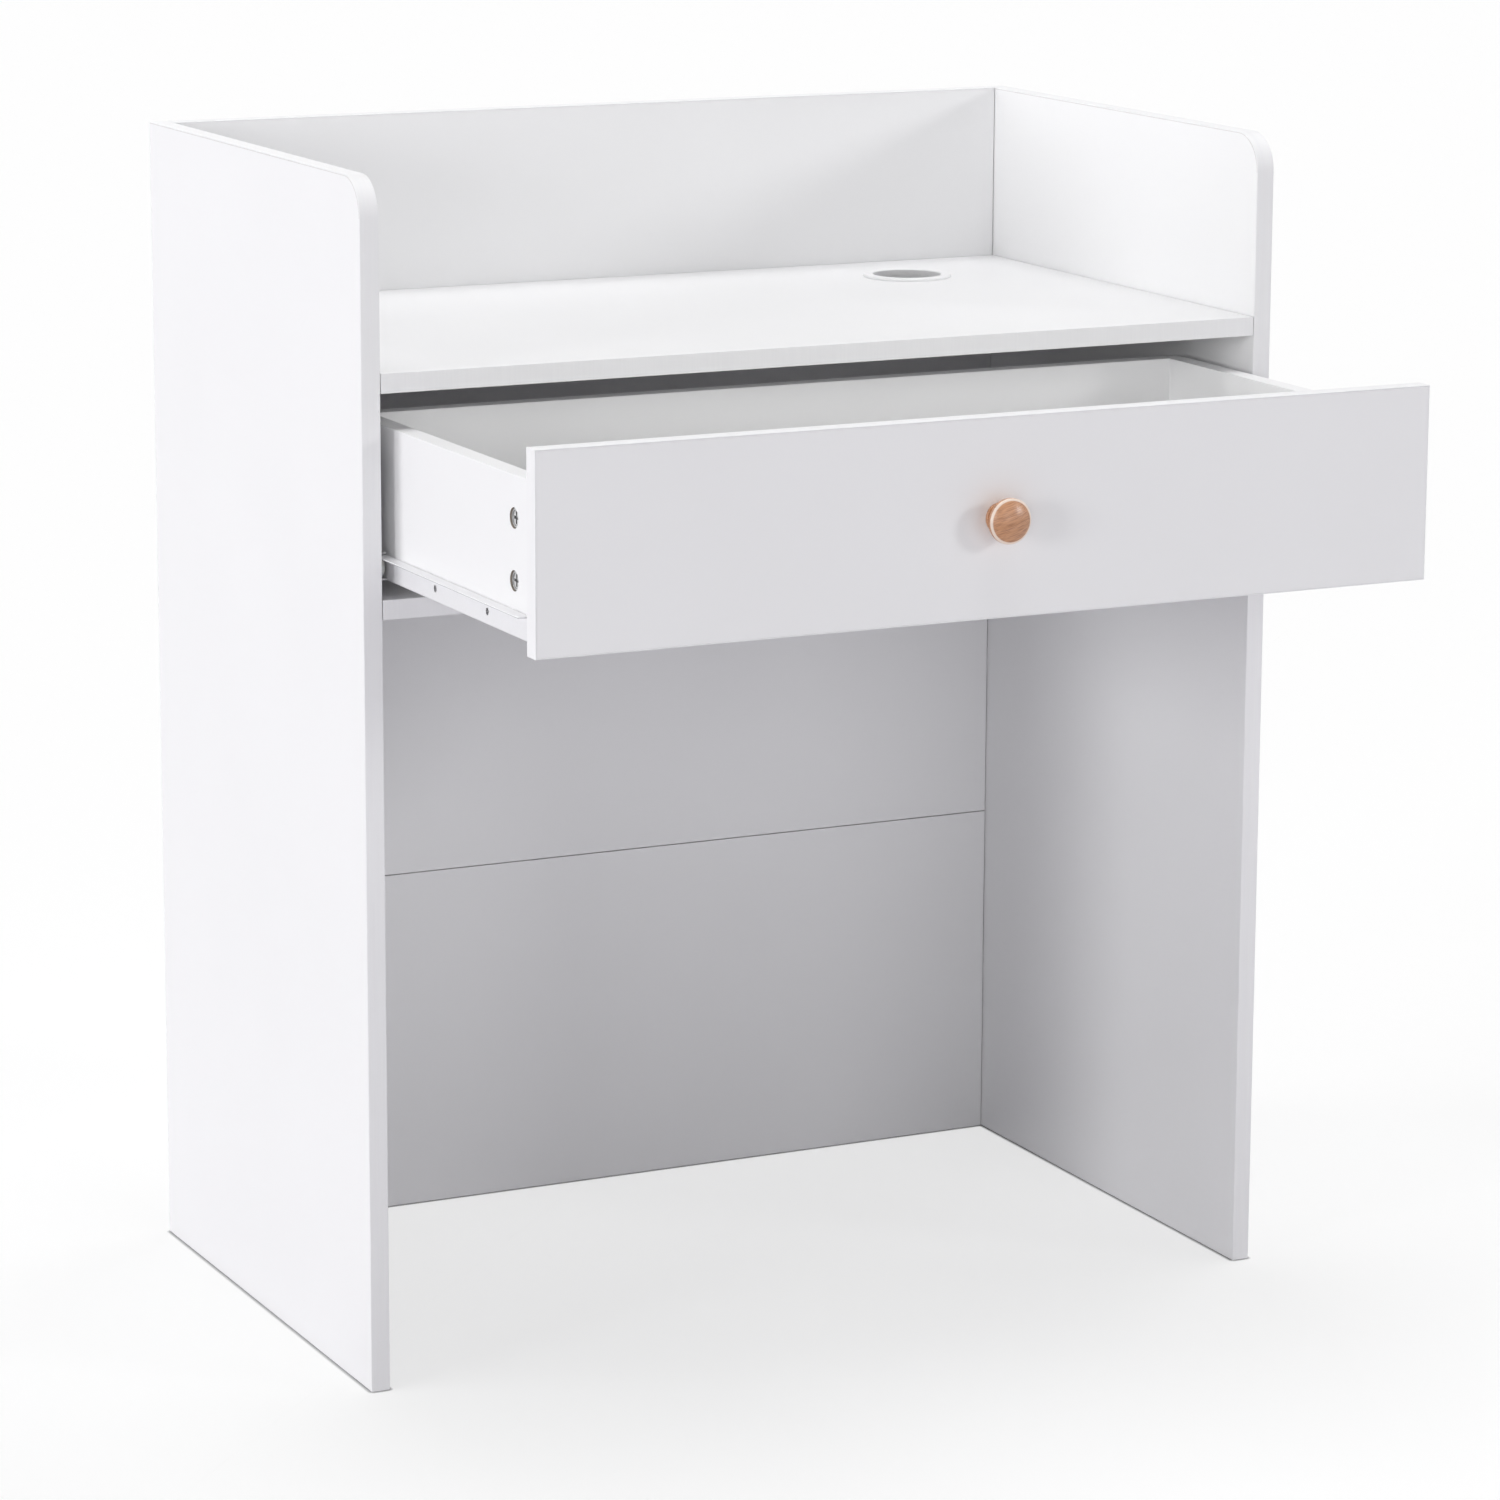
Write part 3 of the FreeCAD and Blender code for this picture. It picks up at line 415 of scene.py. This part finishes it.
def moulded_abs():
    """White ABS moulded in a spark-eroded tool: a fine matt grain."""
    material, tree, surface, place = begin("moulded_abs", IOR=1.53)
    # the eroded grain is about 0.1 mm, drawn coarser so that it shows close up
    grain = add(tree, "TexNoise", {"Scale": per_mm(0.6), "Detail": 2}, {"Vector": place})
    tone = add(tree, "Mix", {"data_type": "RGBA", 6: linear("#F1F1F2"), 7: linear("#F6F6F7")},
               {0: grain.outputs["Fac"]})
    gloss = add(tree, "MapRange", {"To Min": 0.3, "To Max": 0.42}, {"Value": grain.outputs["Fac"]})
    bump = add(tree, "Bump", {"Strength": 0.1, "Distance": 0.05 * MM}, {"Height": grain.outputs["Fac"]})
    feed(tree, surface, Base_Color=tone.outputs[2], Roughness=gloss.outputs["Result"],
         Normal=bump.outputs["Normal"])
    return material


def cast_zinc():
    """Die-cast zinc, tumbled: dull grey metal with cloudy skin and small pits, its recesses darkened by painted
    shade.
    """
    material, tree, surface, place = begin("die_cast_zinc", Metallic=1)
    skin = add(tree, "TexNoise", {"Scale": per_mm(2), "Detail": 4}, {"Vector": place})
    tone = add(tree, "Mix", {"data_type": "RGBA", 6: linear("#CDCED0"), 7: linear("#F0F0F1")},
               {0: skin.outputs["Fac"]})
    gloss = add(tree, "MapRange", {"To Min": 0.28, "To Max": 0.5}, {"Value": skin.outputs["Fac"]})
    bump = add(tree, "Bump", {"Strength": 0.2, "Distance": 0.05 * MM}, {"Height": skin.outputs["Fac"]})
    # painted shade: where ambient occlusion finds a recess, the zinc's colour is darkened towards near-black
    recess_openness = add(tree, "AmbientOcclusion", {"Distance": 3 * MM})
    painted_recess_shade = add(tree, "Mix", {"data_type": "RGBA", 6: linear("#1E1F21")},
               {0: recess_openness.outputs["AO"], 7: tone.outputs[2]})
    feed(tree, surface, Base_Color=painted_recess_shade.outputs[2], Roughness=gloss.outputs["Result"],
         Normal=bump.outputs["Normal"])
    return material


def plated_steel():
    """Zinc-plated steel: bright, slightly blue, with a faint bloom, its recesses darkened by painted shade."""
    material, tree, surface, place = begin("zinc_plated_steel", Metallic=1)
    bloom = add(tree, "TexNoise", {"Scale": per_mm(1.2), "Detail": 3}, {"Vector": place})
    tone = add(tree, "Mix", {"data_type": "RGBA", 6: linear("#B4B8BE"), 7: linear("#D6D8DB")},
               {0: bloom.outputs["Fac"]})
    gloss = add(tree, "MapRange", {"To Min": 0.18, "To Max": 0.36}, {"Value": bloom.outputs["Fac"]})
    # painted shade: where ambient occlusion finds a recess, the plating's colour is darkened towards near-black
    recess_openness = add(tree, "AmbientOcclusion", {"Distance": 1.5 * MM})
    painted_recess_shade = add(tree, "Mix", {"data_type": "RGBA", 6: linear("#1E1F21")},
               {0: recess_openness.outputs["AO"], 7: tone.outputs[2]})
    feed(tree, surface, Base_Color=painted_recess_shade.outputs[2], Roughness=gloss.outputs["Result"])
    return material


GRAIN_RISE = math.radians(16)


def beech(name, ground, dark, light, centre, edge, **sockets):
    """Beech: pinkish brown, straight grain with short dark flecks that rise to the right on the knob's face.

    Along an edge, given as its radius and its place along Y from the centre, a painted highlight turns the wood
    pale.
    """
    material, tree, surface, place = begin(name, IOR=1.5, **sockets)
    turn = add(tree, "Mapping",
               {"vector_type": "TEXTURE", "Location": centre, "Rotation": (0, -GRAIN_RISE, 0)},
               {"Vector": place})
    grain = turn.outputs["Vector"]
    # annual rings some 2.5 mm apart, drawn out along the fibre
    ring_place = add(tree, "Mapping", {"Scale": (per_mm(45), per_mm(5), per_mm(2.5))}, {"Vector": grain})
    ring = add(tree, "TexNoise", {"Scale": 1, "Detail": 2}, {"Vector": ring_place.outputs["Vector"]})
    # ray flecks are about 0.5 mm wide and 4 mm long, drawn coarser so that they show from some way off
    fleck_place = add(tree, "Mapping", {"Scale": (per_mm(10), per_mm(2), per_mm(0.7))}, {"Vector": grain})
    fleck = add(tree, "TexNoise", {"Scale": 1, "Detail": 2}, {"Vector": fleck_place.outputs["Vector"]})
    ring_share = add(tree, "MapRange", {"From Min": 0.35, "From Max": 0.65}, {"Value": ring.outputs["Fac"]})
    fleck_share = add(tree, "MapRange", {"From Min": 0.46, "From Max": 0.64, "To Max": 0.6},
                      {"Value": fleck.outputs["Fac"]})
    body = add(tree, "Mix", {"data_type": "RGBA", 6: linear(ground), 7: linear(light)},
               {0: ring_share.outputs["Result"]})
    streaked = add(tree, "Mix", {"data_type": "RGBA", 7: linear(dark)},
                   {0: fleck_share.outputs["Result"], 6: body.outputs[2]})
    across = add(tree, "VectorMath", {"operation": "MULTIPLY", 1: (1, 0, 1)}, {0: grain})
    radius = add(tree, "VectorMath", {"operation": "LENGTH"}, {0: across.outputs["Vector"]})
    height = add(tree, "SeparateXYZ", links={0: grain})
    spot = add(tree, "CombineXYZ", links={0: radius.outputs["Value"], 1: height.outputs["Y"]})
    away = add(tree, "VectorMath", {"operation": "DISTANCE", 1: (*edge, 0)}, {0: spot.outputs[0]})
    # painted highlight: the wood turns pale cream within about a millimetre of the given edge
    painted_rim_highlight = add(tree, "MapRange", {"From Min": 0.7 * MM, "From Max": 1.4 * MM, "To Min": 0.85, "To Max": 0},
                 {"Value": away.outputs["Value"]})
    tone = add(tree, "Mix", {"data_type": "RGBA", 7: linear("#F5E6D8")},
               {0: painted_rim_highlight.outputs["Result"], 6: streaked.outputs[2]})
    gloss = add(tree, "MapRange", {"To Min": 0.3, "To Max": 0.45}, {"Value": fleck.outputs["Fac"]})
    bump = add(tree, "Bump", {"Strength": 0.12, "Distance": 0.1 * MM, "invert": True},
               {"Height": fleck.outputs["Fac"]})
    feed(tree, surface, Base_Color=tone.outputs[2], Roughness=gloss.outputs["Result"],
         Normal=bump.outputs["Normal"])
    return material


knob_low, knob_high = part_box("drawer_knob")
KNOB_HEAD = (knob_high.x - knob_low.x) / 2
KNOB_LENGTH = knob_high.y - knob_low.y
KNOB_RIM = (KNOB_LENGTH - 8 * MM, KNOB_LENGTH - 5 * MM)
FINISH = {
    "white_board": melamine_board(),
    "edge_strip": abs_edging(),
    "drawer_bottom_board": painted_hardboard(),
    "slide_steel": powder_coat(),
    "roller_plastic": acetal(),
    "grommet_plastic": moulded_abs(),
    "zinc": cast_zinc(),
    "screw_steel": plated_steel(),
    "knob_wood": beech("lacquered_beech", "#BD865C", "#8C5636", "#C9946E", (knob_low + knob_high) / 2,
                       # the knob's rim, where the painted highlight goes
                       (KNOB_HEAD - 1 * MM, KNOB_LENGTH / 2 - KNOB_RIM[1] - 0.3 * MM),
                       Coat_Weight=0.6, Coat_Roughness=0.28),
    # the edge lies far beyond the dowels, so they get no painted highlight
    "dowel_wood": beech("raw_beech", "#D2B38F", "#B08A62", "#DDC3A2", (0, 0, 0), (cad_high.x * 2, 0)),
}


def finish(obj, *nodes):
    """Smooth a piece, give it the finish of the nodes it stands for and let it ride on their body."""
    make_active(obj)
    bpy.ops.object.shade_smooth_by_angle(angle=SHARP)
    change(obj, "WEIGHTED_NORMAL", keep_sharp=True, weight=100)
    slot = SLOT_OF[nodes[0]]
    obj.data.materials.clear()
    obj.data.materials.append(FINISH[slot])
    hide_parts(*nodes)
    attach(obj, BODY_OF[nodes[0]])


# Boards, with their pockets for the cam locks

CAM_PLACES = heads("carcass_cam_locks", min) + heads("drawer_cam_locks", min)
CAM_RADIUS = 7.5 * MM
CAM_HEIGHT = 12.5 * MM
CAM_SUNK = 1.2 * MM
CAM_CROSS = (9 * MM, 2.2 * MM, 3.4 * MM)
CORE_LINE = 0.45
SLOPE = (0.1, 0.95)


def inside(point, low, high):
    return all(a - NEAR <= p <= b + NEAR for p, a, b in zip(point, low, high))


def cam_pockets(low, high):
    """Drills for the cam locks that open on a board's face."""
    places = [place for place in CAM_PLACES if inside(place[0], low, high)]
    if not places:
        return []
    drill = turned("drill", [(0, OVERRUN), (CAM_RADIUS + FIT, OVERRUN), (CAM_RADIUS + FIT, -CAM_HEIGHT - FIT),
                             (0, -CAM_HEIGHT - FIT)])
    return [copies("drills", drill, places)]


def on_floor(edge):
    return middle(edge).z < NEAR


def ease_board(board):
    """Ease a board's edges, and more where it stands on the floor, so that a thin shadow shows there."""
    ease(board, FOOT_EASE, 2, on_floor)
    ease(board, BOARD_EASE, 2, lambda edge: middle(edge).z > FOOT_EASE)


def in_pocket(point):
    """Whether a point lies in or on the pocket of a cam lock."""
    for place, way in CAM_PLACES:
        away = point - place
        depth = -away.dot(way)
        across = (away + depth * way).length
        if across < CAM_RADIUS + FIT + NEAR and -NEAR < depth < CAM_HEIGHT + FIT + NEAR:
            return True
    return False


def lay_bare_or_shade(obj, test):
    """Mark how far each face shows the bare core or a painted shade line, by a test of the face's points and
    normal.
    """
    mesh = obj.data
    mark = mesh.attributes.new(BARE_OR_SHADE, "FLOAT", "FACE")
    for face in mesh.polygons:
        mark.data[face.index].value = test([mesh.vertices[i].co for i in face.vertices], face.normal)


def drilled(points, normal):
    return all(in_pocket(point) for point in points)


def trimmed(points, normal):
    """The narrow slope between a side panel's face and its top edge, where the cutter broke the facing."""
    at_top = min(point.z for point in points) > cad_high.z - PANEL_CORNER - STRIP
    return CORE_LINE if at_top and SLOPE[0] < abs(normal.x) < SLOPE[1] else 0


def faced_board(node, *tools, ends=Vector(), rear=Vector()):
    """A board at a node's place, less its open joints, with eased edges, pockets and other cuts."""
    low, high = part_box(node)
    board = block(node + "_board", low + ends, high - ends - rear)
    ease_board(board)
    cuts = cam_pockets(low, high) + list(tools)
    if cuts:
        cut(board, cuts)
    finish(board, node)
    lay_bare_or_shade(board, drilled)


def edging(node):
    """A straight strip glued to a board's edge, its corners rounded."""
    low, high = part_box(node)
    strip = block(node + "_piece", low + END_JOINT, high - END_JOINT)
    ease(strip, STRAIGHT_STRIP_ROUND, 3)
    finish(strip, node)


def round_corner(obj, radius):
    """Round the top-front corner of a side panel's outline."""
    points = [v.co for v in obj.data.vertices]
    front, top = min(p.y for p in points), max(p.z for p in points)
    pick(obj, "EDGE", lambda e: abs(middle(e).y - front) < NEAR and abs(middle(e).z - top) < NEAR)
    bpy.ops.mesh.bevel(offset=radius, segments=CORNER_STEPS, affect="EDGES")
    close()


def wrap(obj):
    """Turn an outline's rim into a strip that lies inside it."""
    change(obj, "SOLIDIFY", thickness=STRIP, offset=-1, use_even_offset=True)
    ease(obj, STRIP_ROUND, 3)


for side in SIDES:
    node = f"{side}_side_panel"
    board = block(node + "_board", *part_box(node))
    round_corner(board, PANEL_CORNER - STRIP)
    ease_board(board)
    finish(board, node)
    lay_bare_or_shade(board, trimmed)
    node = f"{side}_side_edge_strip"
    strip = block(node + "_piece", *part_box(node))
    round_corner(strip, PANEL_CORNER)
    drop_faces(strip, lambda f: abs(f.normal.x) > FACING or f.normal.z < -FACING)
    wrap(strip)
    finish(strip, node)

grommet_low, grommet_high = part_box("cable_grommet")
GROMMET_CENTRE = (grommet_low + grommet_high) / 2
GROMMET_BORE = 28.5 * MM
GROMMET_WALL = 1.5 * MM
GROMMET_FLANGE = 2.4 * MM
desktop_low, desktop_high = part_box("desktop")
hole = turned("hole", [(0, OVERRUN), (GROMMET_BORE + GROMMET_WALL + FIT, OVERRUN),
                       (GROMMET_BORE + GROMMET_WALL + FIT, desktop_low.z - desktop_high.z - OVERRUN),
                       (0, desktop_low.z - desktop_high.z - OVERRUN)])
stand(hole, (GROMMET_CENTRE.x, GROMMET_CENTRE.y, desktop_high.z), Z)
faced_board("desktop", hole, ends=END_JOINT, rear=REAR_JOINT)
for node in ("drawer_shelf", "upper_back_panel", "lower_back_panel"):
    faced_board(node, ends=END_JOINT)
for node in ("desktop_edge_strip", "drawer_shelf_edge_strip", "upper_back_edge_strip"):
    edging(node)

# Cable grommet

flange = (grommet_high.x - grommet_low.x) / 2
depth = grommet_low.z - grommet_high.z
grommet = turned("cable_grommet_ring", rounded([
    (GROMMET_BORE, depth, 0.4 * MM), (GROMMET_BORE, 0, 1.1 * MM), (flange, 0, 1.6 * MM),
    (flange, -GROMMET_FLANGE, 0.5 * MM), (GROMMET_BORE + GROMMET_WALL, -GROMMET_FLANGE, 0),
    (GROMMET_BORE + GROMMET_WALL, depth, 0.4 * MM),
]), FINE_TURN_STEPS)
stand(grommet, (GROMMET_CENTRE.x, GROMMET_CENTRE.y, grommet_high.z), Z)
finish(grommet, "cable_grommet")

# Drawer

bottom_low, bottom_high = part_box("drawer_bottom")
GROOVE_GAP = Vector((1, 1, 1)) * 0.2 * MM


def groove():
    """The room of the drawer bottom in the boards round it."""
    return block("groove", bottom_low - GROOVE_GAP, bottom_high + GROOVE_GAP)


for node in ("drawer_left_side", "drawer_right_side", "drawer_back", "drawer_front"):
    faced_board(node, groove())
sheet = block("drawer_bottom_sheet", bottom_low, bottom_high)
ease(sheet, BOARD_EASE)
finish(sheet, "drawer_bottom")
node = "drawer_front_edge_strip"
strip = block(node + "_piece", *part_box(node))
drop_faces(strip, lambda f: abs(f.normal.y) > FACING)
wrap(strip)
finish(strip, node)

# Fasteners


def cross_recess(length, width, depth):
    """The two arms of a cross recess, sunk from Z = 0."""
    arms = []
    for x, y in ((length, width), (width, length)):
        arms.append(block("arm", (-x / 2, -y / 2, -depth), (x / 2, y / 2, OVERRUN)))
    return arms


def cam_lock():
    """A cam drum sunk under the board's face at Z = 0: a chamfered rim, a dished face and a cross."""
    outer, inner = CAM_RADIUS - 0.25 * MM, CAM_RADIUS - 1.7 * MM
    dish = CAM_SUNK + 0.7 * MM
    drum = turned("cam_lock", [
        (0, -CAM_HEIGHT), (outer - 0.5 * MM, -CAM_HEIGHT), (outer, 0.5 * MM - CAM_HEIGHT),
        (outer, -CAM_SUNK - 0.4 * MM), (outer - 0.4 * MM, -CAM_SUNK), (inner, -CAM_SUNK), (inner, -dish),
        (0, -dish),
    ])
    cut(drum, cross_recess(*CAM_CROSS))
    return drum


for node in ("carcass_cam_locks", "drawer_cam_locks"):
    finish(copies(node + "_cast", cam_lock(), heads(node, min)), node)


def screw(head, sink, shank, length, fit=0):
    """A countersunk screw down from Z = 0, with a thread-deep tip."""
    return turned("screw", [
        (0, 0), (head + fit, 0), (shank + fit, -sink), (shank + fit, shank - length), (0.3 * MM, -length),
        (0, -length),
    ], SMALL_TURN_STEPS)


SLIDE_SCREW = (2.6 * MM, 1.1 * MM, 1.5 * MM, 13 * MM)
SLIDE_CROSS = (3 * MM, 0.7 * MM, 0.9 * MM)
BACK_SCREW = (3.5 * MM, 2 * MM, 1.75 * MM, 40 * MM)
BACK_CROSS = (4 * MM, 0.9 * MM, 1.6 * MM)
for node, sizes, cross, outwards in (
    ("cabinet_rail_screws", SLIDE_SCREW, SLIDE_CROSS, -1),
    ("runner_screws", SLIDE_SCREW, SLIDE_CROSS, 1),
    ("drawer_back_screws", BACK_SCREW, BACK_CROSS, 1),
):
    pattern = screw(*sizes)
    cut(pattern, cross_recess(*cross))
    finish(copies(node + "_turned", pattern, heads(node, max, outwards)), node)

# Slides: folded sheet, drilled for its screws and its axle


def folded(name, web_x, y, z, folds):
    """A sheet folded along its top and bottom edges; folds are (height, reach along X) of its middle."""
    bpy.ops.object.select_all(action="DESELECT")
    bpy.ops.mesh.primitive_plane_add(size=1, rotation=(0, math.pi / 2, 0),
                                     location=(web_x, (y[0] + y[1]) / 2, (z[0] + z[1]) / 2))
    sheet = bpy.context.object
    sheet.name = name
    sheet.scale = (z[1] - z[0], y[1] - y[0], 1)
    settle(sheet)
    for height, reach in folds:
        pick(sheet, "EDGE", lambda e: abs(middle(e).z - height) < NEAR and abs(middle(e).x - web_x) < NEAR)
        bpy.ops.mesh.extrude_edges_move(TRANSFORM_OT_translate={"value": (reach, 0, 0)})
        close()
    levels = [height for height, _ in folds]
    pick(sheet, "EDGE", lambda e: abs(middle(e).x - web_x) < NEAR
         and any(abs(v.co.z - h) < NEAR for h in levels for v in e.verts) and len(e.link_faces) == 2)
    bpy.ops.mesh.bevel(offset=STEEL_BEND, segments=4, affect="EDGES")
    close()
    change(sheet, "SOLIDIFY", thickness=STEEL, offset=0, use_even_offset=True)
    ease(sheet, STEEL_EASE, 3)
    return sheet


def flange_notch(side_x, sign, front, top):
    """Room at the front end of a runner's flange, which stops short of the drawer front."""
    near, far = sign * (side_x + 2 * STEEL), sign * (side_x + NOTCH_REACH)
    return block("notch", (min(near, far), front - OVERRUN, top - 2 * STEEL),
                 (max(near, far), front + FLANGE_SHORT, top + OVERRUN))


def slide_holes(node, outwards, sign):
    """Countersunk holes for one slide's screws."""
    places = [place for place in heads(node, max, outwards) if place[0].x * sign > 0]
    pattern = screw(*SLIDE_SCREW, fit=FIT)
    return [copies("holes", pattern, places)]


for side, sign in SIDES.items():
    low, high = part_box(f"{side}_drawer_runner")
    box_face = max(abs(x) for x in (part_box(f"drawer_{side}_side")[0].x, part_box(f"drawer_{side}_side")[1].x))
    reach = [abs(low.x), abs(high.x)]
    web = box_face + STEEL / 2
    z = (low.z + STEEL / 2, high.z - STEEL / 2)
    runner = folded(f"{side}_runner_sheet", sign * web, (low.y, high.y), z, [
        (z[1], sign * (max(reach) - web)), (z[0], sign * (min(reach) - web))])
    cut(runner, slide_holes("runner_screws", 1, sign) + [flange_notch(box_face, sign, low.y, high.z)])
    finish(runner, f"{side}_drawer_runner")
    # painted shade: the flange's outer rim is marked to show grey, a painted shade line along its edge
    rim = max(reach) - STEEL_EASE - NEAR
    lay_bare_or_shade(runner, lambda points, normal: all(abs(p.x) > rim and p.z < z[1] for p in points))
    low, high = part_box(f"{side}_cabinet_rail")
    reach = [abs(low.x), abs(high.x)]
    web = max(reach) - STEEL / 2
    z = (low.z + STEEL / 2, high.z - STEEL / 2)
    inwards = sign * (min(reach) - web)
    rail = folded(f"{side}_rail_sheet", sign * web, (low.y, high.y), z, [(z[1], inwards), (z[0], inwards)])
    cut(rail, slide_holes("cabinet_rail_screws", -1, sign))
    finish(rail, f"{side}_cabinet_rail")

ROLLER_BORE = 2.55 * MM
ROLLER_HUB = 4 * MM
ROLLER_RIM = 6.7 * MM
ROLLER_DISH = 0.8 * MM
ROLLER_DRAFT = 0.3 * MM
for side in SIDES:
    for end in ("front", "rear"):
        node = f"{side}_{end}_roller"
        low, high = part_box(node)
        radius, half = (high.z - low.z) / 2, (high.x - low.x) / 2
        dish = half - ROLLER_DISH
        inner, outer = ROLLER_HUB + ROLLER_DRAFT, ROLLER_RIM - ROLLER_DRAFT
        roller = turned(node + "_moulding", rounded([
            (ROLLER_BORE, -half, 0.2 * MM), (ROLLER_HUB, -half, 0), (inner, -dish, 0),
            (outer, -dish, 0), (ROLLER_RIM, -half, 0), (radius, -half, 0.6 * MM),
            (radius, half, 0.6 * MM), (ROLLER_RIM, half, 0), (outer, dish, 0),
            (inner, dish, 0), (ROLLER_HUB, half, 0), (ROLLER_BORE, half, 0.2 * MM),
        ], 4))
        stand(roller, (low + high) / 2, X)
        finish(roller, node)

# Knob

KNOB_BASE = 11.5 * MM
KNOB_FOOT = 2.6 * MM
KNOB_NECK = 9.4 * MM
KNOB_WAIST = 8 * MM
KNOB_FLARE = 6 * MM
DOME_STEPS = 12
crown = KNOB_LENGTH - KNOB_RIM[1]
dome = (KNOB_HEAD ** 2 + crown ** 2) / (2 * crown)
face = []
for step in range(2, DOME_STEPS + 1):
    radius = KNOB_HEAD * (1 - step / DOME_STEPS)
    face.append((radius, KNOB_LENGTH - dome + math.sqrt(dome ** 2 - radius ** 2), 0))
knob = turned("turned_knob", rounded([
    (0, 0, 0), (KNOB_BASE, 0, 0.6 * MM), (KNOB_BASE, KNOB_FOOT, 0.9 * MM), (KNOB_NECK, KNOB_FOOT, 0),
    (KNOB_NECK, KNOB_WAIST, KNOB_FLARE), (KNOB_HEAD, KNOB_RIM[0], 1.2 * MM),
    (KNOB_HEAD, KNOB_RIM[1], 1.4 * MM), *face,
], 8), FINE_TURN_STEPS)
stand(knob, (0, knob_high.y, (knob_low.z + knob_high.z) / 2), -Y)
finish(knob, "drawer_knob")

for node, obj in frame["nodes"].items():
    if not obj.hide_render:
        obj.data.materials.clear()
        obj.data.materials.append(FINISH[SLOT_OF[node]])

# Floor, light and camera

FLOOR_SIZE = 80
FLOOR_BOUNCE = "#D3D1D7"
FLOOR_SHADE = "#A0A0A0"
FLOOR_GLOW = 0.645
# reach and falloff of the painted contact shade that darkens the floor's glow next to the desk
CONTACT = 3.5 * MM
CONTACT_FALL = 4
SKY = 0.02
SKY_TINT = "#F4EFFA"
# where each light stands, as degrees round the desk from the staff side and up from the floor, its share of
# the light and its spread in degrees
LIGHTS = {
    "left_window": (-105, 8, 0.29, 25),
    "left_top_softbox": (-90, 50, 0.14, 30),
    "left_front_window": (-70, 8, 0.262, 14),
    "front_left_fill": (-30, 8, 0.15, 25),
    "front_fill": (10, 8, 0.09, 25),
    "right_front_softbox": (48, 16, 0.19, 12),
    "right_fill": (100, 50, 0.23, 40),
    "rear_fill": (180, 8, 0.3, 30),
    "top_softbox": (0, 90, 0.47, 40),
}


def seen_directly(tree):
    """1 for what the camera, a mirror or a clear piece shows, and 0 for light that falls on the desk."""
    path = add(tree, "LightPath")
    first = add(tree, "Math", {"operation": "MAXIMUM"},
                {0: path.outputs["Is Camera Ray"], 1: path.outputs["Is Glossy Ray"]})
    return add(tree, "Math", {"operation": "MAXIMUM"},
               {0: first.outputs[0], 1: path.outputs["Is Transmission Ray"]}).outputs[0]


def floor_paint():
    """A white studio floor with the desk's shadow and a painted contact shade; it sends less light up than it
    shows.
    """
    material = bpy.data.materials.new("studio_floor")
    material.use_nodes = True
    tree = material.node_tree
    tree.nodes.clear()
    bounce = add(tree, "BsdfDiffuse", {"Color": linear(FLOOR_BOUNCE)})
    shade = add(tree, "BsdfDiffuse", {"Color": linear(FLOOR_SHADE)})
    # painted shade: the floor's glow is darkened where ambient occlusion finds the desk close by
    near = add(tree, "AmbientOcclusion", {"Distance": CONTACT})
    painted_contact_shade = add(tree, "Math", {"operation": "POWER", 1: CONTACT_FALL}, {0: near.outputs["AO"]})
    level = add(tree, "Math", {"operation": "MULTIPLY", 1: FLOOR_GLOW}, {0: painted_contact_shade.outputs[0]})
    glow = add(tree, "Emission", {"Color": linear("#FFFFFF")}, {"Strength": level.outputs[0]})
    shown = add(tree, "AddShader", links={0: shade.outputs[0], 1: glow.outputs[0]})
    both = add(tree, "MixShader", links={0: seen_directly(tree), 1: bounce.outputs[0], 2: shown.outputs[0]})
    add(tree, "OutputMaterial", links={"Surface": both.outputs[0]})
    return material


bpy.ops.object.select_all(action="DESELECT")
bpy.ops.mesh.primitive_plane_add(size=FLOOR_SIZE, location=(0, 0, 0))
floor = bpy.context.object
floor.name = "studio_floor"
floor.data.materials.append(floor_paint())
floor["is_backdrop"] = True

world = bpy.data.worlds.new("studio")
bpy.context.scene.world = world
world.use_nodes = True
sky = world.node_tree
sky.nodes.clear()
ambient = add(sky, "Background", {"Color": linear(SKY_TINT), "Strength": SKY})
backdrop = add(sky, "Background", {"Color": linear("#FFFFFF"), "Strength": 1})
both = add(sky, "MixShader", links={0: seen_directly(sky), 1: ambient.outputs[0], 2: backdrop.outputs[0]})
add(sky, "OutputWorld", links={"Surface": both.outputs[0]})

for name, (around, up, share, spread) in LIGHTS.items():
    data = bpy.data.lights.new(name, "SUN")
    data.energy = math.pi * share
    data.angle = math.radians(spread)
    lamp = bpy.data.objects.new(name, data)
    lamp.rotation_euler = (math.radians(90 - up), 0, math.radians(around))
    bpy.context.scene.collection.objects.link(lamp)

PHOTO_PIXELS = 1500
FOCAL_PIXELS = 5347.3
SENSOR = 36
VIEW_PLACE = (-1.84358, -4.07312, 1.36184)
VIEW_TURN, VIEW_FALL, VIEW_ROLL = (math.radians(a) for a in (-26.072, 11.620, 0.242))
VIEW_SHIFT = -75 / PHOTO_PIXELS

lens = bpy.data.cameras.new("photo_camera")
lens.sensor_width = SENSOR
lens.lens = SENSOR * FOCAL_PIXELS / PHOTO_PIXELS
lens.shift_y = VIEW_SHIFT
camera = bpy.data.objects.new("photo_camera", lens)
camera.location = VIEW_PLACE
camera.rotation_euler = (
    Matrix.Rotation(VIEW_TURN, 3, "Z")
    @ Matrix.Rotation(math.pi / 2 - VIEW_FALL, 3, "X")
    @ Matrix.Rotation(VIEW_ROLL, 3, "Z")
).to_euler()
bpy.context.scene.collection.objects.link(camera)
bpy.context.scene.camera = camera
bpy.context.scene.view_settings.view_transform = "Standard"

low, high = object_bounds()
